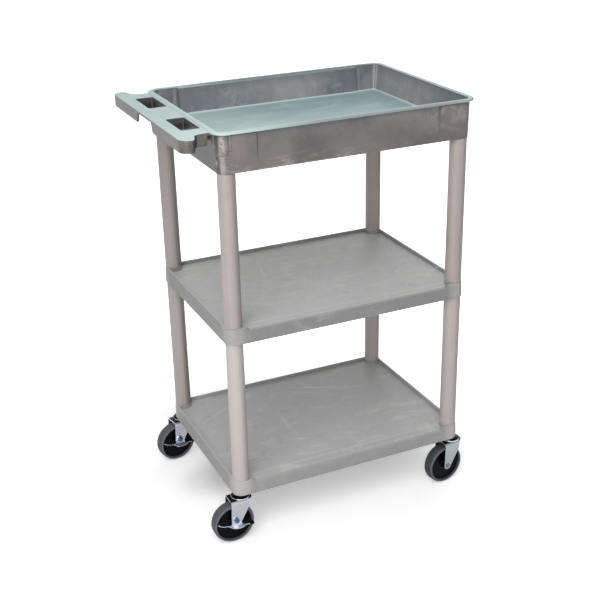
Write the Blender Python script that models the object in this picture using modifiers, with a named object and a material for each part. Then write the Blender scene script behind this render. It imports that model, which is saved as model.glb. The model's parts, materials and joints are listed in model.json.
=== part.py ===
"""Three-shelf moulded utility cart: tub top with a push handle, tube legs, swivel casters.

Metres, +Z up. X runs along the long side with the handle at -X, Y across, and the
origin is on the floor under the middle of the cart's bounding box.
"""

import math

import bmesh
import bpy
from mathutils import Vector

# Running gap between pieces that touch or turn on each other
GAP = 0.0003
# How far a cutter or a joined piece reaches past the face it meets
OVERSHOOT = 0.002

# Shelves: both flat shelves are the same moulding
SHELF_LENGTH = 0.6096
SHELF_DEPTH = 0.4458
SHELF_DRAFT = 0.0011
SKIRT_THICKNESS = 0.0040
FLOOR_THICKNESS = 0.0045
SHELF_FLOOR_HEIGHT = 0.0295
LIP_HEIGHT = 0.0080
LIP_WIDTH = 0.0058
LIP_ROUND = 0.0016
NOSE_RISE = 0.0012
NOSE_ROUND = 0.0070
NOSE_WIDTH = 0.0056
NOSE_FLAT = 0.0042
NOSE_SLOPE = 0.0070
NOSE_RAMP = 0.0080
CORNER_STEPS = 5
RIB_THICKNESS = 0.0035
SHELF_RIB_DEPTH = 0.0140
TUB_RIB_DEPTH = 0.0100

# Levels of the three shelves above the floor
BOTTOM_SHELF_HEIGHT = 0.1220
SHELF_SPACING = 0.3906

# Legs: hollow tubes with a stepped-down spigot at each end
LEG_RADIUS = 0.0198
LEG_INSET = 0.0222
LEG_BORE_RADIUS = 0.0128
SPIGOT_RADIUS = 0.0162
SPIGOT_LENGTH = 0.0150
SPIGOT_CHAMFER = 0.0012
SMALL_EDGE = 0.0008
LEG_SEGMENTS = 16

# Sockets that take the spigots
SOCKET_CLEARANCE = 0.0003
SOCKET_END_CLEARANCE = 0.0008
COLLAR_WALL = 0.0040
COLLAR_RISE = 0.0006
BOSS_DROP = 0.0005

# Tub top
TUB_INSET = 0.0010
TUB_HEIGHT = 0.0900
BASIN_DEPTH = 0.0655
TUB_WALL = 0.0052
TUB_FLOOR = 0.0042
TUB_DRAFT = 0.0014
BASIN_DRAFT = 0.0100
RIM_OVERHANG = 0.0098
RIM_LIP = 0.0052
RIM_ROUND = 0.0034
RIM_INNER_ROUND = 0.0050
BASIN_FILLET = 0.0030
PANEL_INSET = 0.0036
PANEL_HALF_LENGTH = 0.2170
PANEL_INNER_HALF_LENGTH = 0.2360
PANEL_STEP = 0.0015
PANEL_FADE_HEIGHT = 0.0170

# Grooves either side of the leg columns at the handle end
GROOVE_WIDTH = 0.0083
GROOVE_OFFSET = 0.0028
GROOVE_DEPTH = 0.0032
GROOVE_BOTTOM = 0.0470

# Push handle, moulded in one with the tub
HANDLE_REACH = 0.0751
HANDLE_HALF_WIDTH = 0.2425
HANDLE_DEPTH = 0.0290
HANDLE_DROP = 0.0026
HANDLE_PLATE = 0.0050
HANDLE_WALL = 0.0040
HANDLE_HOLLOW_WALL = 0.0030
HANDLE_EDGE = 0.0026
LOBE_LENGTH = 0.0420
LOBE_RADIUS = 0.0210
LOBE_TIP_RADIUS = 0.0140
NECK_HALF_WIDTH = 0.2030
NECK_RADIUS = 0.0120
NECK_GAP = 0.0150
GRIP_WIDTH = 0.0295
HAND_HOLE_WIDTH = 0.0413
HAND_HOLE_LENGTH = 0.1030
HAND_HOLE_GAP = 0.1110
HAND_HOLE_RADIUS = 0.0040
NOTCH_LENGTH = 0.0930
NOTCH_FLARE = 0.0080

# Casters
WHEEL_RADIUS = 0.0508
WHEEL_WIDTH = 0.0310
TYRE_DEPTH = 0.0100
TYRE_SHOULDER = 0.0060
TYRE_SEGMENTS = 28
HUB_SEGMENTS = 20
HUB_RIM_DEPTH = 0.0045
HUB_WEB = 0.0130
HUB_BOSS_RADIUS = 0.0100
HUB_BOSS_WIDTH = 0.0350
CASTER_TRAIL = 0.0218
CASTER_OFFSET = 0.0065
STEM_RADIUS = 0.0048
STEM_LENGTH = 0.0180
STEM_HEAD_RADIUS = 0.0085
STEM_HEAD_HEIGHT = 0.0035
CROWN_DROP = 0.0072
CROWN_RADIUS = 0.0265
CROWN_REAR = 0.0300
RACE_RADIUS = 0.0222
RACE_HEIGHT = 0.0062
RACE_WALL = 0.0018
RACE_SHOULDER = 0.0028
SEAL_RADIUS = 0.0195
SEAL_HEIGHT = 0.0030
FORK_PLATE = 0.0025
FORK_GAP = 0.0370
FORK_END_RADIUS = 0.0100
FORK_BEND = 0.0065
FORK_FRONT = 0.0125
FORK_SHOULDER = 0.0200
AXLE_RADIUS = 0.0040
AXLE_HEAD_RADIUS = 0.0062
AXLE_HEAD_CROWN = 0.0037
AXLE_HEAD_HEIGHT = 0.0014
AXLE_NUT_RADIUS = 0.0072
AXLE_NUT_HEIGHT = 0.0048
BUSH_WALL = 0.0015

# Side brakes: a rocking foot bar hung on its own bolt above the axle
BRAKE_PIVOT_X = 0.0020
BRAKE_PIVOT_RISE = 0.0147
BRAKE_BOLT_RADIUS = 0.0030
BRAKE_HEAD_RADIUS = 0.0042
BRAKE_HEX_RADIUS = 0.0066
BRAKE_HEX_HEIGHT = 0.0042
LEVER_PLATE = 0.0020
LEVER_EAR_RADIUS = 0.0088
LEVER_EAR_HALF_FOOT = 0.0125
LEVER_EAR_FOOT = 0.0065
LEVER_REAR = 0.0470
LEVER_FRONT = 0.0405
LEVER_STANDOFF = 0.0022
LEVER_BAR_WIDTH = 0.0030
LEVER_BOW = 0.0040
LEVER_BOW_HALF = 0.0300
LEVER_DROP = 0.0117
LEVER_RISE = 0.0125
LEVER_FALL = 0.0055
LEVER_STEPS = 12
TIP_SOCKET = 0.0085
TIP_WALL = 0.0015
PAD_CLEARANCE = 0.0008

# Worked out from the sizes above
LIP_TOP = SHELF_FLOOR_HEIGHT + LIP_HEIGHT
COLLAR_TOP = LIP_TOP + COLLAR_RISE
SOCKET_RADIUS = SPIGOT_RADIUS + SOCKET_CLEARANCE
SOCKET_DEPTH = SPIGOT_LENGTH + SOCKET_END_CLEARANCE
COLLAR_RADIUS = SOCKET_RADIUS + COLLAR_WALL
LEG_X = SHELF_LENGTH / 2 - LEG_INSET
LEG_Y = SHELF_DEPTH / 2 - LEG_INSET
MIDDLE_SHELF_HEIGHT = BOTTOM_SHELF_HEIGHT + SHELF_SPACING
TUB_BASE = MIDDLE_SHELF_HEIGHT + SHELF_SPACING
RIM_TOP = TUB_BASE + TUB_HEIGHT
BASIN_FLOOR = RIM_TOP - BASIN_DEPTH
TUB_HALF_X = SHELF_LENGTH / 2 - TUB_INSET
TUB_HALF_Y = SHELF_DEPTH / 2 - TUB_INSET
HANDLE_X = -(TUB_HALF_X + RIM_OVERHANG + HANDLE_REACH)
HANDLE_TOP = RIM_TOP - HANDLE_DROP
HANDLE_LOW = RIM_TOP - HANDLE_DEPTH
HOLE_X = HANDLE_X + GRIP_WIDTH
END_RIB_X = LEG_X - COLLAR_RADIUS
SWIVEL_X = LEG_X + CASTER_OFFSET
SWIVEL_Y = LEG_Y + CASTER_OFFSET
BOSS_BOTTOM = BOTTOM_SHELF_HEIGHT - BOSS_DROP
CROWN_TOP = BOSS_BOTTOM - CROWN_DROP
CROWN_UNDER = CROWN_TOP - FORK_PLATE
FORK_HALF = FORK_GAP / 2 + FORK_PLATE
LEVER_INNER = FORK_HALF + GAP
LEVER_BAR = LEVER_INNER + LEVER_STANDOFF


CORNERS = {
    "front_left": (-1, -1),
    "front_right": (1, -1),
    "rear_left": (-1, 1),
    "rear_right": (1, 1),
}
BRAKED = ("front_left", "rear_left")
# How far each swivel has turned from trailing straight back
SWIVEL_TURN = {"front_right": math.radians(7.0), "rear_left": math.radians(9.0)}

# The bounding box reaches from the handle to the turned wheel at the other end,
# or to the rim, and is centred across
WHEEL_TURN = SWIVEL_TURN["front_right"]
WHEEL_MAX_X = (SWIVEL_X + (WHEEL_RADIUS - CASTER_TRAIL) * math.cos(WHEEL_TURN)
               + (WHEEL_WIDTH / 2 - TYRE_SHOULDER) * math.sin(WHEEL_TURN))
BOX_MIDDLE_X = (HANDLE_X + max(WHEEL_MAX_X, TUB_HALF_X + RIM_OVERHANG)) / 2


def clear_scene():
    for item in list(bpy.data.objects):
        bpy.data.objects.remove(item, do_unlink=True)


def new_collection(name):
    collection = bpy.data.collections.new(name)
    bpy.context.scene.collection.children.link(collection)
    return collection


def plain_material(name, color, roughness, metallic=0.0):
    material = bpy.data.materials.new(name)
    material.use_nodes = True
    shader = material.node_tree.nodes["Principled BSDF"]
    shader.inputs["Base Color"].default_value = (*color, 1.0)
    shader.inputs["Roughness"].default_value = roughness
    shader.inputs["Metallic"].default_value = metallic
    material.diffuse_color = (*color, 1.0)
    return material


def shade_round(mesh, angle=math.radians(35.0)):
    mesh.shade_smooth()
    mesh.set_sharp_from_angle(angle=angle)


def add_object(name, bm, material, parent=None, smooth=False):
    """Turns a finished bmesh into a named piece with its own material."""
    bmesh.ops.recalc_face_normals(bm, faces=bm.faces)
    mesh = bpy.data.meshes.new(name)
    bm.to_mesh(mesh)
    bm.free()
    if smooth:
        shade_round(mesh)
    mesh.materials.append(material)
    item = bpy.data.objects.new(name, mesh)
    PARTS.objects.link(item)
    item.parent = parent
    return item


def add_cutter(name, bm, parent):
    """A guide shape that only other pieces' Booleans use."""
    bmesh.ops.recalc_face_normals(bm, faces=bm.faces)
    mesh = bpy.data.meshes.new(name)
    bm.to_mesh(mesh)
    bm.free()
    item = bpy.data.objects.new(name, mesh)
    CUTTERS.objects.link(item)
    item.parent = parent
    item.hide_render = True
    item.display_type = "WIRE"
    return item


def boolean(item, cutter, operation="DIFFERENCE"):
    modifier = item.modifiers.new(cutter.name, "BOOLEAN")
    modifier.operation = operation
    modifier.solver = "EXACT"
    modifier.object = cutter


def add_empty(name, location, parent=None):
    empty = bpy.data.objects.new(name, None)
    empty.location = location
    empty.empty_display_size = 0.02
    empty.parent = parent
    PARTS.objects.link(empty)
    return empty


def add_box(bm, low, high):
    """Adds a box between two corners to a bmesh."""
    low, high = Vector(low), Vector(high)
    made = bmesh.ops.create_cube(bm, size=1.0)
    bmesh.ops.scale(bm, vec=high - low, verts=made["verts"])
    bmesh.ops.translate(bm, vec=(low + high) / 2, verts=made["verts"])
    return made["verts"]


def add_cylinder(bm, radius, low, high, center, segments):
    """Adds an upright cylinder from height low to height high."""
    made = bmesh.ops.create_cone(
        bm,
        cap_ends=True,
        segments=segments,
        radius1=radius,
        radius2=radius,
        depth=high - low,
    )
    move = Vector((center[0], center[1], (low + high) / 2))
    bmesh.ops.translate(bm, vec=move, verts=made["verts"])


def arc(center, radius, start, end, steps):
    """Points on an arc, both ends included, angles in degrees."""
    points = []
    for step in range(steps + 1):
        angle = math.radians(start + (end - start) * step / steps)
        points.append((center[0] + radius * math.cos(angle), center[1] + radius * math.sin(angle)))
    return points


def quarter_round(width, height, steps):
    """Insets and drops of the points along a rounded edge, from its side to its top.
    The same pairs are the insets and rises of a fillet, from its wall to its floor."""
    angles = [math.pi / 2 * step / steps for step in range(steps + 1)]
    return [(width * (1 - math.cos(a)), height * (1 - math.sin(a))) for a in angles]


def outline(half_x, half_y, radius, cuts=(), steps=CORNER_STEPS):
    """A rounded rectangle, anticlockwise from the front edge, with extra points
    at the given distances either side of the middle of both long edges."""
    across = [sign * cut for sign, order in ((-1, -1), (1, 1)) for cut in sorted(cuts)[::order]]
    corner_x, corner_y = half_x - radius, half_y - radius
    points = [(x, -half_y) for x in across]
    points += arc((corner_x, -corner_y), radius, -90, 0, steps)
    points += arc((corner_x, corner_y), radius, 0, 90, steps)
    points += [(x, half_y) for x in reversed(across)]
    points += arc((-corner_x, corner_y), radius, 90, 180, steps)
    points += arc((-corner_x, -corner_y), radius, 180, 270, steps)
    return points


def loft(bm, rings):
    """Skins a stack of equal closed rings and caps both ends."""
    skins = [[bm.verts.new(point) for point in ring] for ring in rings]
    count = len(skins[0])
    for lower, upper in zip(skins, skins[1:]):
        for k in range(count):
            following = (k + 1) % count
            bm.faces.new((lower[k], lower[following], upper[following], upper[k]))
    bm.faces.new(skins[0])
    bm.faces.new(skins[-1])


def add_cross_bore(item, name, radius, center, near, far, parent):
    """Drills a hole along Y between two levels, at a centre given as (X, Z)."""
    bm = bmesh.new()
    points = [(center[0] + x, center[1] + z) for x, z in arc((0.0, 0.0), radius, 0, 330, 11)]
    prism(bm, points, near, far, axis="Y")
    boolean(item, add_cutter(name, bm, parent))


def turned(name, profile, material, parent, segments, along_y=False, closed=True):
    """Turns a profile of (radius, height) points. The profile runs down its outer
    side. A piece along Y is laid over, so that its height points to -Y."""
    mesh = bpy.data.meshes.new(name)
    edges = [(k, k + 1) for k in range(len(profile) - 1)]
    if closed:
        edges.append((len(profile) - 1, 0))
    mesh.from_pydata([(radius, 0.0, height) for radius, height in profile], edges, [])
    mesh.materials.append(material)
    item = bpy.data.objects.new(name, mesh)
    PARTS.objects.link(item)
    item.parent = parent
    screw = item.modifiers.new("turn", "SCREW")
    screw.axis = "Z"
    screw.angle = math.tau
    screw.steps = segments
    screw.render_steps = segments
    screw.use_merge_vertices = True
    screw.merge_threshold = 0.00001
    screw.use_smooth_shade = True
    if along_y:
        item.rotation_euler = (math.pi / 2, 0.0, 0.0)
    return item


def prism(bm, points, low, high, axis="Z"):
    """Extrudes a flat outline between two levels along Z, or along Y."""

    def place(point, level):
        return (point[0], point[1], level) if axis == "Z" else (point[0], level, point[1])

    rings = [[place(point, level) for point in points] for level in (low, high)]
    loft(bm, rings)


def shelf_rings(base):
    """Cross-section rings of a flat shelf, from its underside round the skirt to its top."""
    half_x, half_y = SHELF_LENGTH / 2, SHELF_DEPTH / 2
    ramp_end = LEG_X - COLLAR_RADIUS - OVERSHOOT
    ramp_start = ramp_end - NOSE_RAMP
    floor = SHELF_FLOOR_HEIGHT
    nose = floor + NOSE_RISE
    draft = SHELF_DRAFT
    skirt = SKIRT_THICKNESS
    edges = zip(quarter_round(LIP_ROUND, LIP_ROUND, 2), quarter_round(NOSE_WIDTH, NOSE_ROUND, 2))
    # inset from the outer edge, height of the lipped sides, height and inset of the front
    stations = [
        (skirt + LIP_ROUND, floor - FLOOR_THICKNESS, floor - FLOOR_THICKNESS, skirt + LIP_ROUND),
        (skirt, floor - FLOOR_THICKNESS - LIP_ROUND, floor - FLOOR_THICKNESS - LIP_ROUND, skirt),
        (skirt, 0.0, 0.0, skirt),
        (0.0, 0.0, 0.0, 0.0),
    ]
    for (lip_inset, lip_drop), (nose_inset, nose_drop) in edges:
        stations.append((draft + lip_inset, LIP_TOP - lip_drop, nose - nose_drop, draft + nose_inset))
    nose_end = draft + NOSE_WIDTH + NOSE_FLAT
    stations.append((draft + LIP_WIDTH, LIP_TOP, nose, nose_end))
    stations.append((draft + LIP_WIDTH + LIP_ROUND, floor, floor, nose_end + NOSE_SLOPE))
    rings = []
    for inset, height, front_height, front_inset in stations:
        ring = []
        cuts = (ramp_start, ramp_end)
        for x, y in outline(half_x - inset, half_y - inset, LEG_INSET - inset, cuts):
            in_front = y < 0 and abs(x) <= ramp_start
            if in_front:
                ring.append((x, -(half_y - front_inset), base + front_height))
            else:
                ring.append((x, y, base + height))
        rings.append(ring)
    return rings


def leg_centers():
    return [(sx * LEG_X, sy * LEG_Y) for sx, sy in CORNERS.values()]


def add_ribs(item, name, under, depth, half_y, crossings, parent):
    """Joins one long rib and several cross ribs to the underside of a moulded floor."""
    low, half = under - depth, RIB_THICKNESS / 2
    bm = bmesh.new()
    add_box(bm, (-END_RIB_X, -half, low), (END_RIB_X, half, under))
    boolean(item, add_cutter(name + "_long_rib", bm, parent), "UNION")
    bm = bmesh.new()
    for x in crossings:
        add_box(bm, (x - half, -half_y, low - LIP_ROUND), (x + half, half_y, under - GAP))
    boolean(item, add_cutter(name + "_cross_ribs", bm, parent), "UNION")


def add_bores(item, name, radius, low, high, centers, segments, parent):
    """Cuts one round bore at each centre."""
    bm = bmesh.new()
    for center in centers:
        add_cylinder(bm, radius, low, high, center, segments)
    boolean(item, add_cutter(name, bm, parent))


def add_shelf(name, base, material, parent):
    """A flat shelf: lipped on the back and both ends, with a socket at each corner."""
    bm = bmesh.new()
    loft(bm, shelf_rings(base))
    item = add_object(name, bm, material, parent, smooth=True)
    inner_y = SHELF_DEPTH / 2 - SKIRT_THICKNESS / 2
    under = base + SHELF_FLOOR_HEIGHT - FLOOR_THICKNESS / 2
    crossings = (-END_RIB_X, 0.0, END_RIB_X)
    add_ribs(item, name, under, SHELF_RIB_DEPTH, inner_y, crossings, parent)
    bm = bmesh.new()
    for center in leg_centers():
        low, high = base - BOSS_DROP, base + COLLAR_TOP
        add_cylinder(bm, COLLAR_RADIUS, low, high, center, LEG_SEGMENTS)
    boolean(item, add_cutter(name + "_collars", bm, parent), "UNION")
    top = base + COLLAR_TOP
    add_bores(item, name + "_leg_sockets", SOCKET_RADIUS, top - SOCKET_DEPTH, top + OVERSHOOT,
              leg_centers(), LEG_SEGMENTS, parent)
    return item


def add_lower_sockets(item, name, base, parent):
    """Sockets under a shelf for the tops of the legs below it."""
    low = base - BOSS_DROP
    add_bores(item, name, SOCKET_RADIUS, low - OVERSHOOT, low + SOCKET_DEPTH,
              leg_centers(), LEG_SEGMENTS, parent)


def tub_rings():
    """Cross-section rings of the tub, from under its floor round the wall to its inside."""
    floor_under = BASIN_FLOOR - TUB_FLOOR
    rim_under = RIM_TOP - RIM_LIP
    inner_top = TUB_DRAFT - TUB_WALL
    inner_floor = inner_top - BASIN_DRAFT
    slope = (RIM_TOP - BASIN_FLOOR - BASIN_FILLET) / (RIM_TOP - BASIN_FLOOR)
    fade = TUB_BASE + PANEL_FADE_HEIGHT
    fade_out = TUB_DRAFT * PANEL_FADE_HEIGHT / (rim_under - TUB_BASE)
    outer, inner = PANEL_HALF_LENGTH, PANEL_INNER_HALF_LENGTH
    # outward offset from the foot of the wall, height, panel inset, panel half length
    stations = [
        (inner_floor - BASIN_FILLET, floor_under, 0.0, outer),
        (-TUB_WALL, floor_under - BASIN_FILLET, 0.0, outer),
        (-TUB_WALL, TUB_BASE, 0.0, outer),
        (0.0, TUB_BASE, 0.0, outer),
        (fade_out, fade, 0.0, outer),
        (TUB_DRAFT, rim_under, PANEL_INSET, outer),
        (RIM_OVERHANG, rim_under, 0.0, outer),
    ]
    for inset, drop in quarter_round(RIM_ROUND, RIM_ROUND, 2):
        stations.append((RIM_OVERHANG - inset, RIM_TOP - drop, 0.0, outer))
    for inset, drop in reversed(quarter_round(RIM_INNER_ROUND, RIM_INNER_ROUND, 3)):
        panel = PANEL_INSET * drop / RIM_INNER_ROUND
        stations.append((inner_top + inset, RIM_TOP - drop, panel, inner))
    stations.append((inner_top - BASIN_DRAFT * slope, BASIN_FLOOR + BASIN_FILLET, PANEL_INSET, inner))
    for inset, rise in quarter_round(BASIN_FILLET, BASIN_FILLET, 2)[1:]:
        stations.append((inner_floor - inset, BASIN_FLOOR + rise, PANEL_INSET, inner))
    rings = []
    for offset, height, panel, length in stations:
        half_x, half_y = TUB_HALF_X + offset, TUB_HALF_Y + offset
        cuts = (length, length + PANEL_STEP)
        ring = []
        for x, y in outline(half_x, half_y, LEG_INSET + offset, cuts):
            if abs(x) <= length:
                y -= math.copysign(panel, y)
            ring.append((x, y, height))
        rings.append(ring)
    return rings


def handle_outline():
    """Plan of the handle plate: a rounded lobe at each end and a waisted neck."""
    lobe_x = HANDLE_X + LOBE_LENGTH
    near = -(TUB_HALF_X - TUB_WALL / 3)
    half = [(near, NECK_HALF_WIDTH)]
    neck_center = (lobe_x + NECK_RADIUS, NECK_HALF_WIDTH + NECK_RADIUS)
    half += arc(neck_center, NECK_RADIUS, -90, -180, 4)
    tip_y = HANDLE_HALF_WIDTH - LOBE_TIP_RADIUS
    half += arc((lobe_x - LOBE_TIP_RADIUS, tip_y), LOBE_TIP_RADIUS, 0, 90, 4)
    half += arc((HANDLE_X + LOBE_RADIUS, HANDLE_HALF_WIDTH - LOBE_RADIUS), LOBE_RADIUS, 90, 180, 5)
    return half + [(x, -y) for x, y in reversed(half)]


def hand_hole_span(sign):
    """Lowest and highest Y of one hand hole."""
    inner, outer = HAND_HOLE_GAP / 2, HAND_HOLE_GAP / 2 + HAND_HOLE_LENGTH
    return (inner, outer) if sign > 0 else (-outer, -inner)


def add_handle(tub, parent):
    """Joins the handle to the tub's end wall, hollow underneath as a moulding is."""
    bm = bmesh.new()
    prism(bm, handle_outline(), HANDLE_LOW, HANDLE_TOP)
    edges = [e for e in bm.edges
             if all(abs(v.co.z - HANDLE_TOP) < GAP for v in e.verts)
             and min(v.co.x for v in e.verts) < -(TUB_HALF_X + RIM_OVERHANG / 2)]
    bmesh.ops.bevel(bm, geom=edges, offset=HANDLE_EDGE, segments=2, affect="EDGES", profile=0.5)
    boolean(tub, add_cutter("handle_block", bm, parent), "UNION")

    low, high = HANDLE_LOW - OVERSHOOT, HANDLE_TOP - HANDLE_PLATE
    skirt_x = HANDLE_X + HANDLE_WALL
    hole_far = HOLE_X + HAND_HOLE_WIDTH
    end_wall = -(TUB_HALF_X + TUB_DRAFT)
    wall_x = end_wall - HANDLE_HOLLOW_WALL
    end_y = HANDLE_HALF_WIDTH - LOBE_RADIUS
    bm = bmesh.new()
    add_box(bm, (skirt_x, -end_y, low), (HOLE_X - HANDLE_HOLLOW_WALL, end_y, high))
    boolean(tub, add_cutter("grip_hollow", bm, parent))
    hollow = bmesh.new()
    inner = HAND_HOLE_GAP / 2 - HANDLE_WALL
    add_box(hollow, (HOLE_X - HANDLE_WALL, -inner, low), (wall_x, inner, high - GAP))
    outer = HAND_HOLE_GAP / 2 + HAND_HOLE_LENGTH + HANDLE_WALL
    edge = NECK_HALF_WIDTH - HANDLE_WALL
    for sign in (-1, 1):
        y0, y1 = sorted((sign * outer, sign * edge))
        add_box(hollow, (HOLE_X - HANDLE_WALL, y0, low), (wall_x, y1, high - GAP))
        y0, y1 = sorted((sign * (inner + HANDLE_WALL * 2), sign * (outer - HANDLE_WALL * 2)))
        add_box(hollow, (hole_far + HANDLE_HOLLOW_WALL, y0, low), (wall_x, y1, high - GAP))
    boolean(tub, add_cutter("neck_hollows", hollow, parent))

    gaps = bmesh.new()
    for sign in (-1, 1):
        y0, y1 = sorted((sign * (edge - OVERSHOOT), sign * (NECK_HALF_WIDTH + OVERSHOOT)))
        add_box(gaps, (end_wall - NECK_GAP, y0, low), (end_wall - GAP, y1, high - GAP * 2))
    boolean(tub, add_cutter("neck_gaps", gaps, parent))

    holes = bmesh.new()
    for sign in (-1, 1):
        y0, y1 = hand_hole_span(sign)
        center = ((HOLE_X + hole_far) / 2, (y0 + y1) / 2)
        points = outline(HAND_HOLE_WIDTH / 2, (y1 - y0) / 2, HAND_HOLE_RADIUS, steps=2)
        points = [(x + center[0], y + center[1]) for x, y in points]
        prism(holes, points, low, HANDLE_TOP + OVERSHOOT)
    boolean(tub, add_cutter("hand_holes", holes, parent))

    notch = bmesh.new()
    half = NOTCH_LENGTH / 2
    flared = half + NOTCH_FLARE
    points = ((-half, high), (half, high), (flared, low), (-flared, low))
    rings = [[(x, y, z) for y, z in points] for x in (HANDLE_X - OVERSHOOT, skirt_x + OVERSHOOT)]
    loft(notch, rings)
    boolean(tub, add_cutter("skirt_notch", notch, parent))


def add_column_grooves(tub, parent):
    """Grooves that set off the round leg columns at the handle end."""
    low = TUB_BASE + GROOVE_BOTTOM
    high = RIM_TOP - RIM_LIP + GAP
    wall_x, wall_y = TUB_HALF_X + TUB_DRAFT, TUB_HALF_Y + TUB_DRAFT
    half = GROOVE_WIDTH / 2
    bm = bmesh.new()
    for sign in (-1, 1):
        x = -LEG_X + GROOVE_OFFSET
        y0, y1 = sorted((sign * (wall_y - GROOVE_DEPTH), sign * (wall_y + OVERSHOOT)))
        add_box(bm, (x - half, y0, low), (x + half, y1, high))
        y = sign * (LEG_Y - GROOVE_OFFSET)
        face = -(wall_x - GROOVE_DEPTH)
        add_box(bm, (-(wall_x + OVERSHOOT), y - half, low), (face, y + half, high))
    boolean(tub, add_cutter("column_grooves", bm, parent))


def add_tub(material, parent):
    """The top shelf: a deep drafted tub with an outward rim and the push handle."""
    bm = bmesh.new()
    loft(bm, tub_rings())
    tub = add_object("tub_shelf", bm, material, parent, smooth=True)
    under = BASIN_FLOOR - TUB_FLOOR / 2
    inner_y = TUB_HALF_Y - TUB_WALL / 2
    add_ribs(tub, "tub", under, TUB_RIB_DEPTH, inner_y, (-END_RIB_X, END_RIB_X), parent)
    bm = bmesh.new()
    for center in leg_centers():
        low, high = TUB_BASE - BOSS_DROP, BASIN_FLOOR - TUB_FLOOR / 2
        add_cylinder(bm, COLLAR_RADIUS, low, high, center, LEG_SEGMENTS)
    boolean(tub, add_cutter("tub_bosses", bm, parent), "UNION")
    add_lower_sockets(tub, "tub_leg_sockets", TUB_BASE, parent)
    add_handle(tub, parent)
    add_column_grooves(tub, parent)
    return tub


def leg_profile(low, high):
    """Outer side down, then up the bore, between the two shoulders."""
    spigot, chamfer, bore = SPIGOT_RADIUS, SPIGOT_CHAMFER, LEG_BORE_RADIUS
    top, bottom = high + SPIGOT_LENGTH, low - SPIGOT_LENGTH
    return (
        (bore, top), (spigot - chamfer, top), (spigot, top - chamfer), (spigot, high),
        (LEG_RADIUS, high), (LEG_RADIUS, low),
        (spigot, low), (spigot, bottom + chamfer), (spigot - chamfer, bottom), (bore, bottom),
    )


def add_legs(material, parent):
    """Eight tube legs, four under each of the upper two shelves."""
    tiers = (("lower", BOTTOM_SHELF_HEIGHT, MIDDLE_SHELF_HEIGHT),
             ("upper", MIDDLE_SHELF_HEIGHT, TUB_BASE))
    for tier, below, above in tiers:
        low = below + COLLAR_TOP + GAP
        high = above - BOSS_DROP - GAP
        for corner, (sx, sy) in CORNERS.items():
            name = f"leg_{tier}_{corner}"
            leg = turned(name, leg_profile(low, high), material, parent, LEG_SEGMENTS)
            leg.location = (sx * LEG_X, sy * LEG_Y, 0.0)


def fork_side():
    """Side view of the fork: crown, raked legs and a round end at the axle."""
    axle = (-CASTER_TRAIL, WHEEL_RADIUS)
    shoulder = CROWN_UNDER - FORK_SHOULDER
    points = [(-CROWN_REAR, CROWN_TOP + OVERSHOOT)]
    points += arc(axle, FORK_END_RADIUS, 180, 335, 8)
    points += [(FORK_FRONT, shoulder), (FORK_FRONT + FORK_PLATE, CROWN_UNDER - GAP)]
    points += [(CROWN_RADIUS + OVERSHOOT, CROWN_UNDER - GAP)]
    points += [(CROWN_RADIUS + OVERSHOOT, CROWN_TOP + OVERSHOOT)]
    return points


def fork_section():
    """Cross-section of the bent plate, seen along X, as a closed outline."""
    outer = [(-FORK_HALF, 0.0)]
    center = FORK_HALF - FORK_BEND
    outer += arc((-center, CROWN_TOP - FORK_BEND), FORK_BEND, 180, 90, 4)
    outer += arc((center, CROWN_TOP - FORK_BEND), FORK_BEND, 90, 0, 4)
    outer += [(FORK_HALF, 0.0)]
    bend = FORK_BEND - FORK_PLATE
    inside = FORK_HALF - FORK_PLATE
    inner = [(inside, 0.0)]
    inner += arc((center, CROWN_TOP - FORK_BEND), bend, 0, 90, 3)
    inner += arc((-center, CROWN_TOP - FORK_BEND), bend, 90, 180, 3)
    inner += [(-inside, 0.0)]
    return outer + inner


def add_fork(corner, material, swivel):
    """Bent steel yoke, trimmed to its side view and to the round of its crown."""
    bm = bmesh.new()
    ends = (-CROWN_REAR - WHEEL_RADIUS, CROWN_RADIUS + OVERSHOOT * 2)
    loft(bm, [[(x, y, z) for y, z in fork_section()] for x in ends])
    fork = add_object(f"caster_fork_{corner}", bm, material, swivel, smooth=True)
    bm = bmesh.new()
    prism(bm, fork_side(), -FORK_HALF - OVERSHOOT, FORK_HALF + OVERSHOOT, axis="Y")
    boolean(fork, add_cutter(f"fork_side_{corner}", bm, swivel), "INTERSECT")
    bm = bmesh.new()
    plan = arc((0.0, 0.0), CROWN_RADIUS, -90, 90, 12)
    rear = -CROWN_REAR - WHEEL_RADIUS
    plan += [(rear, CROWN_RADIUS), (rear, -CROWN_RADIUS)]
    prism(bm, plan, 0.0, CROWN_TOP + OVERSHOOT * 2)
    boolean(fork, add_cutter(f"fork_plan_{corner}", bm, swivel), "INTERSECT")
    bm = bmesh.new()
    radius = STEM_RADIUS + GAP * 2
    add_cylinder(bm, radius, CROWN_UNDER - OVERSHOOT, CROWN_TOP + OVERSHOOT, (0, 0), 12)
    boolean(fork, add_cutter(f"fork_stem_hole_{corner}", bm, swivel))
    reach = FORK_HALF + OVERSHOOT
    add_cross_bore(fork, f"fork_axle_holes_{corner}", AXLE_RADIUS + GAP,
                   (-CASTER_TRAIL, WHEEL_RADIUS), -reach, reach, swivel)
    return fork


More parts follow.
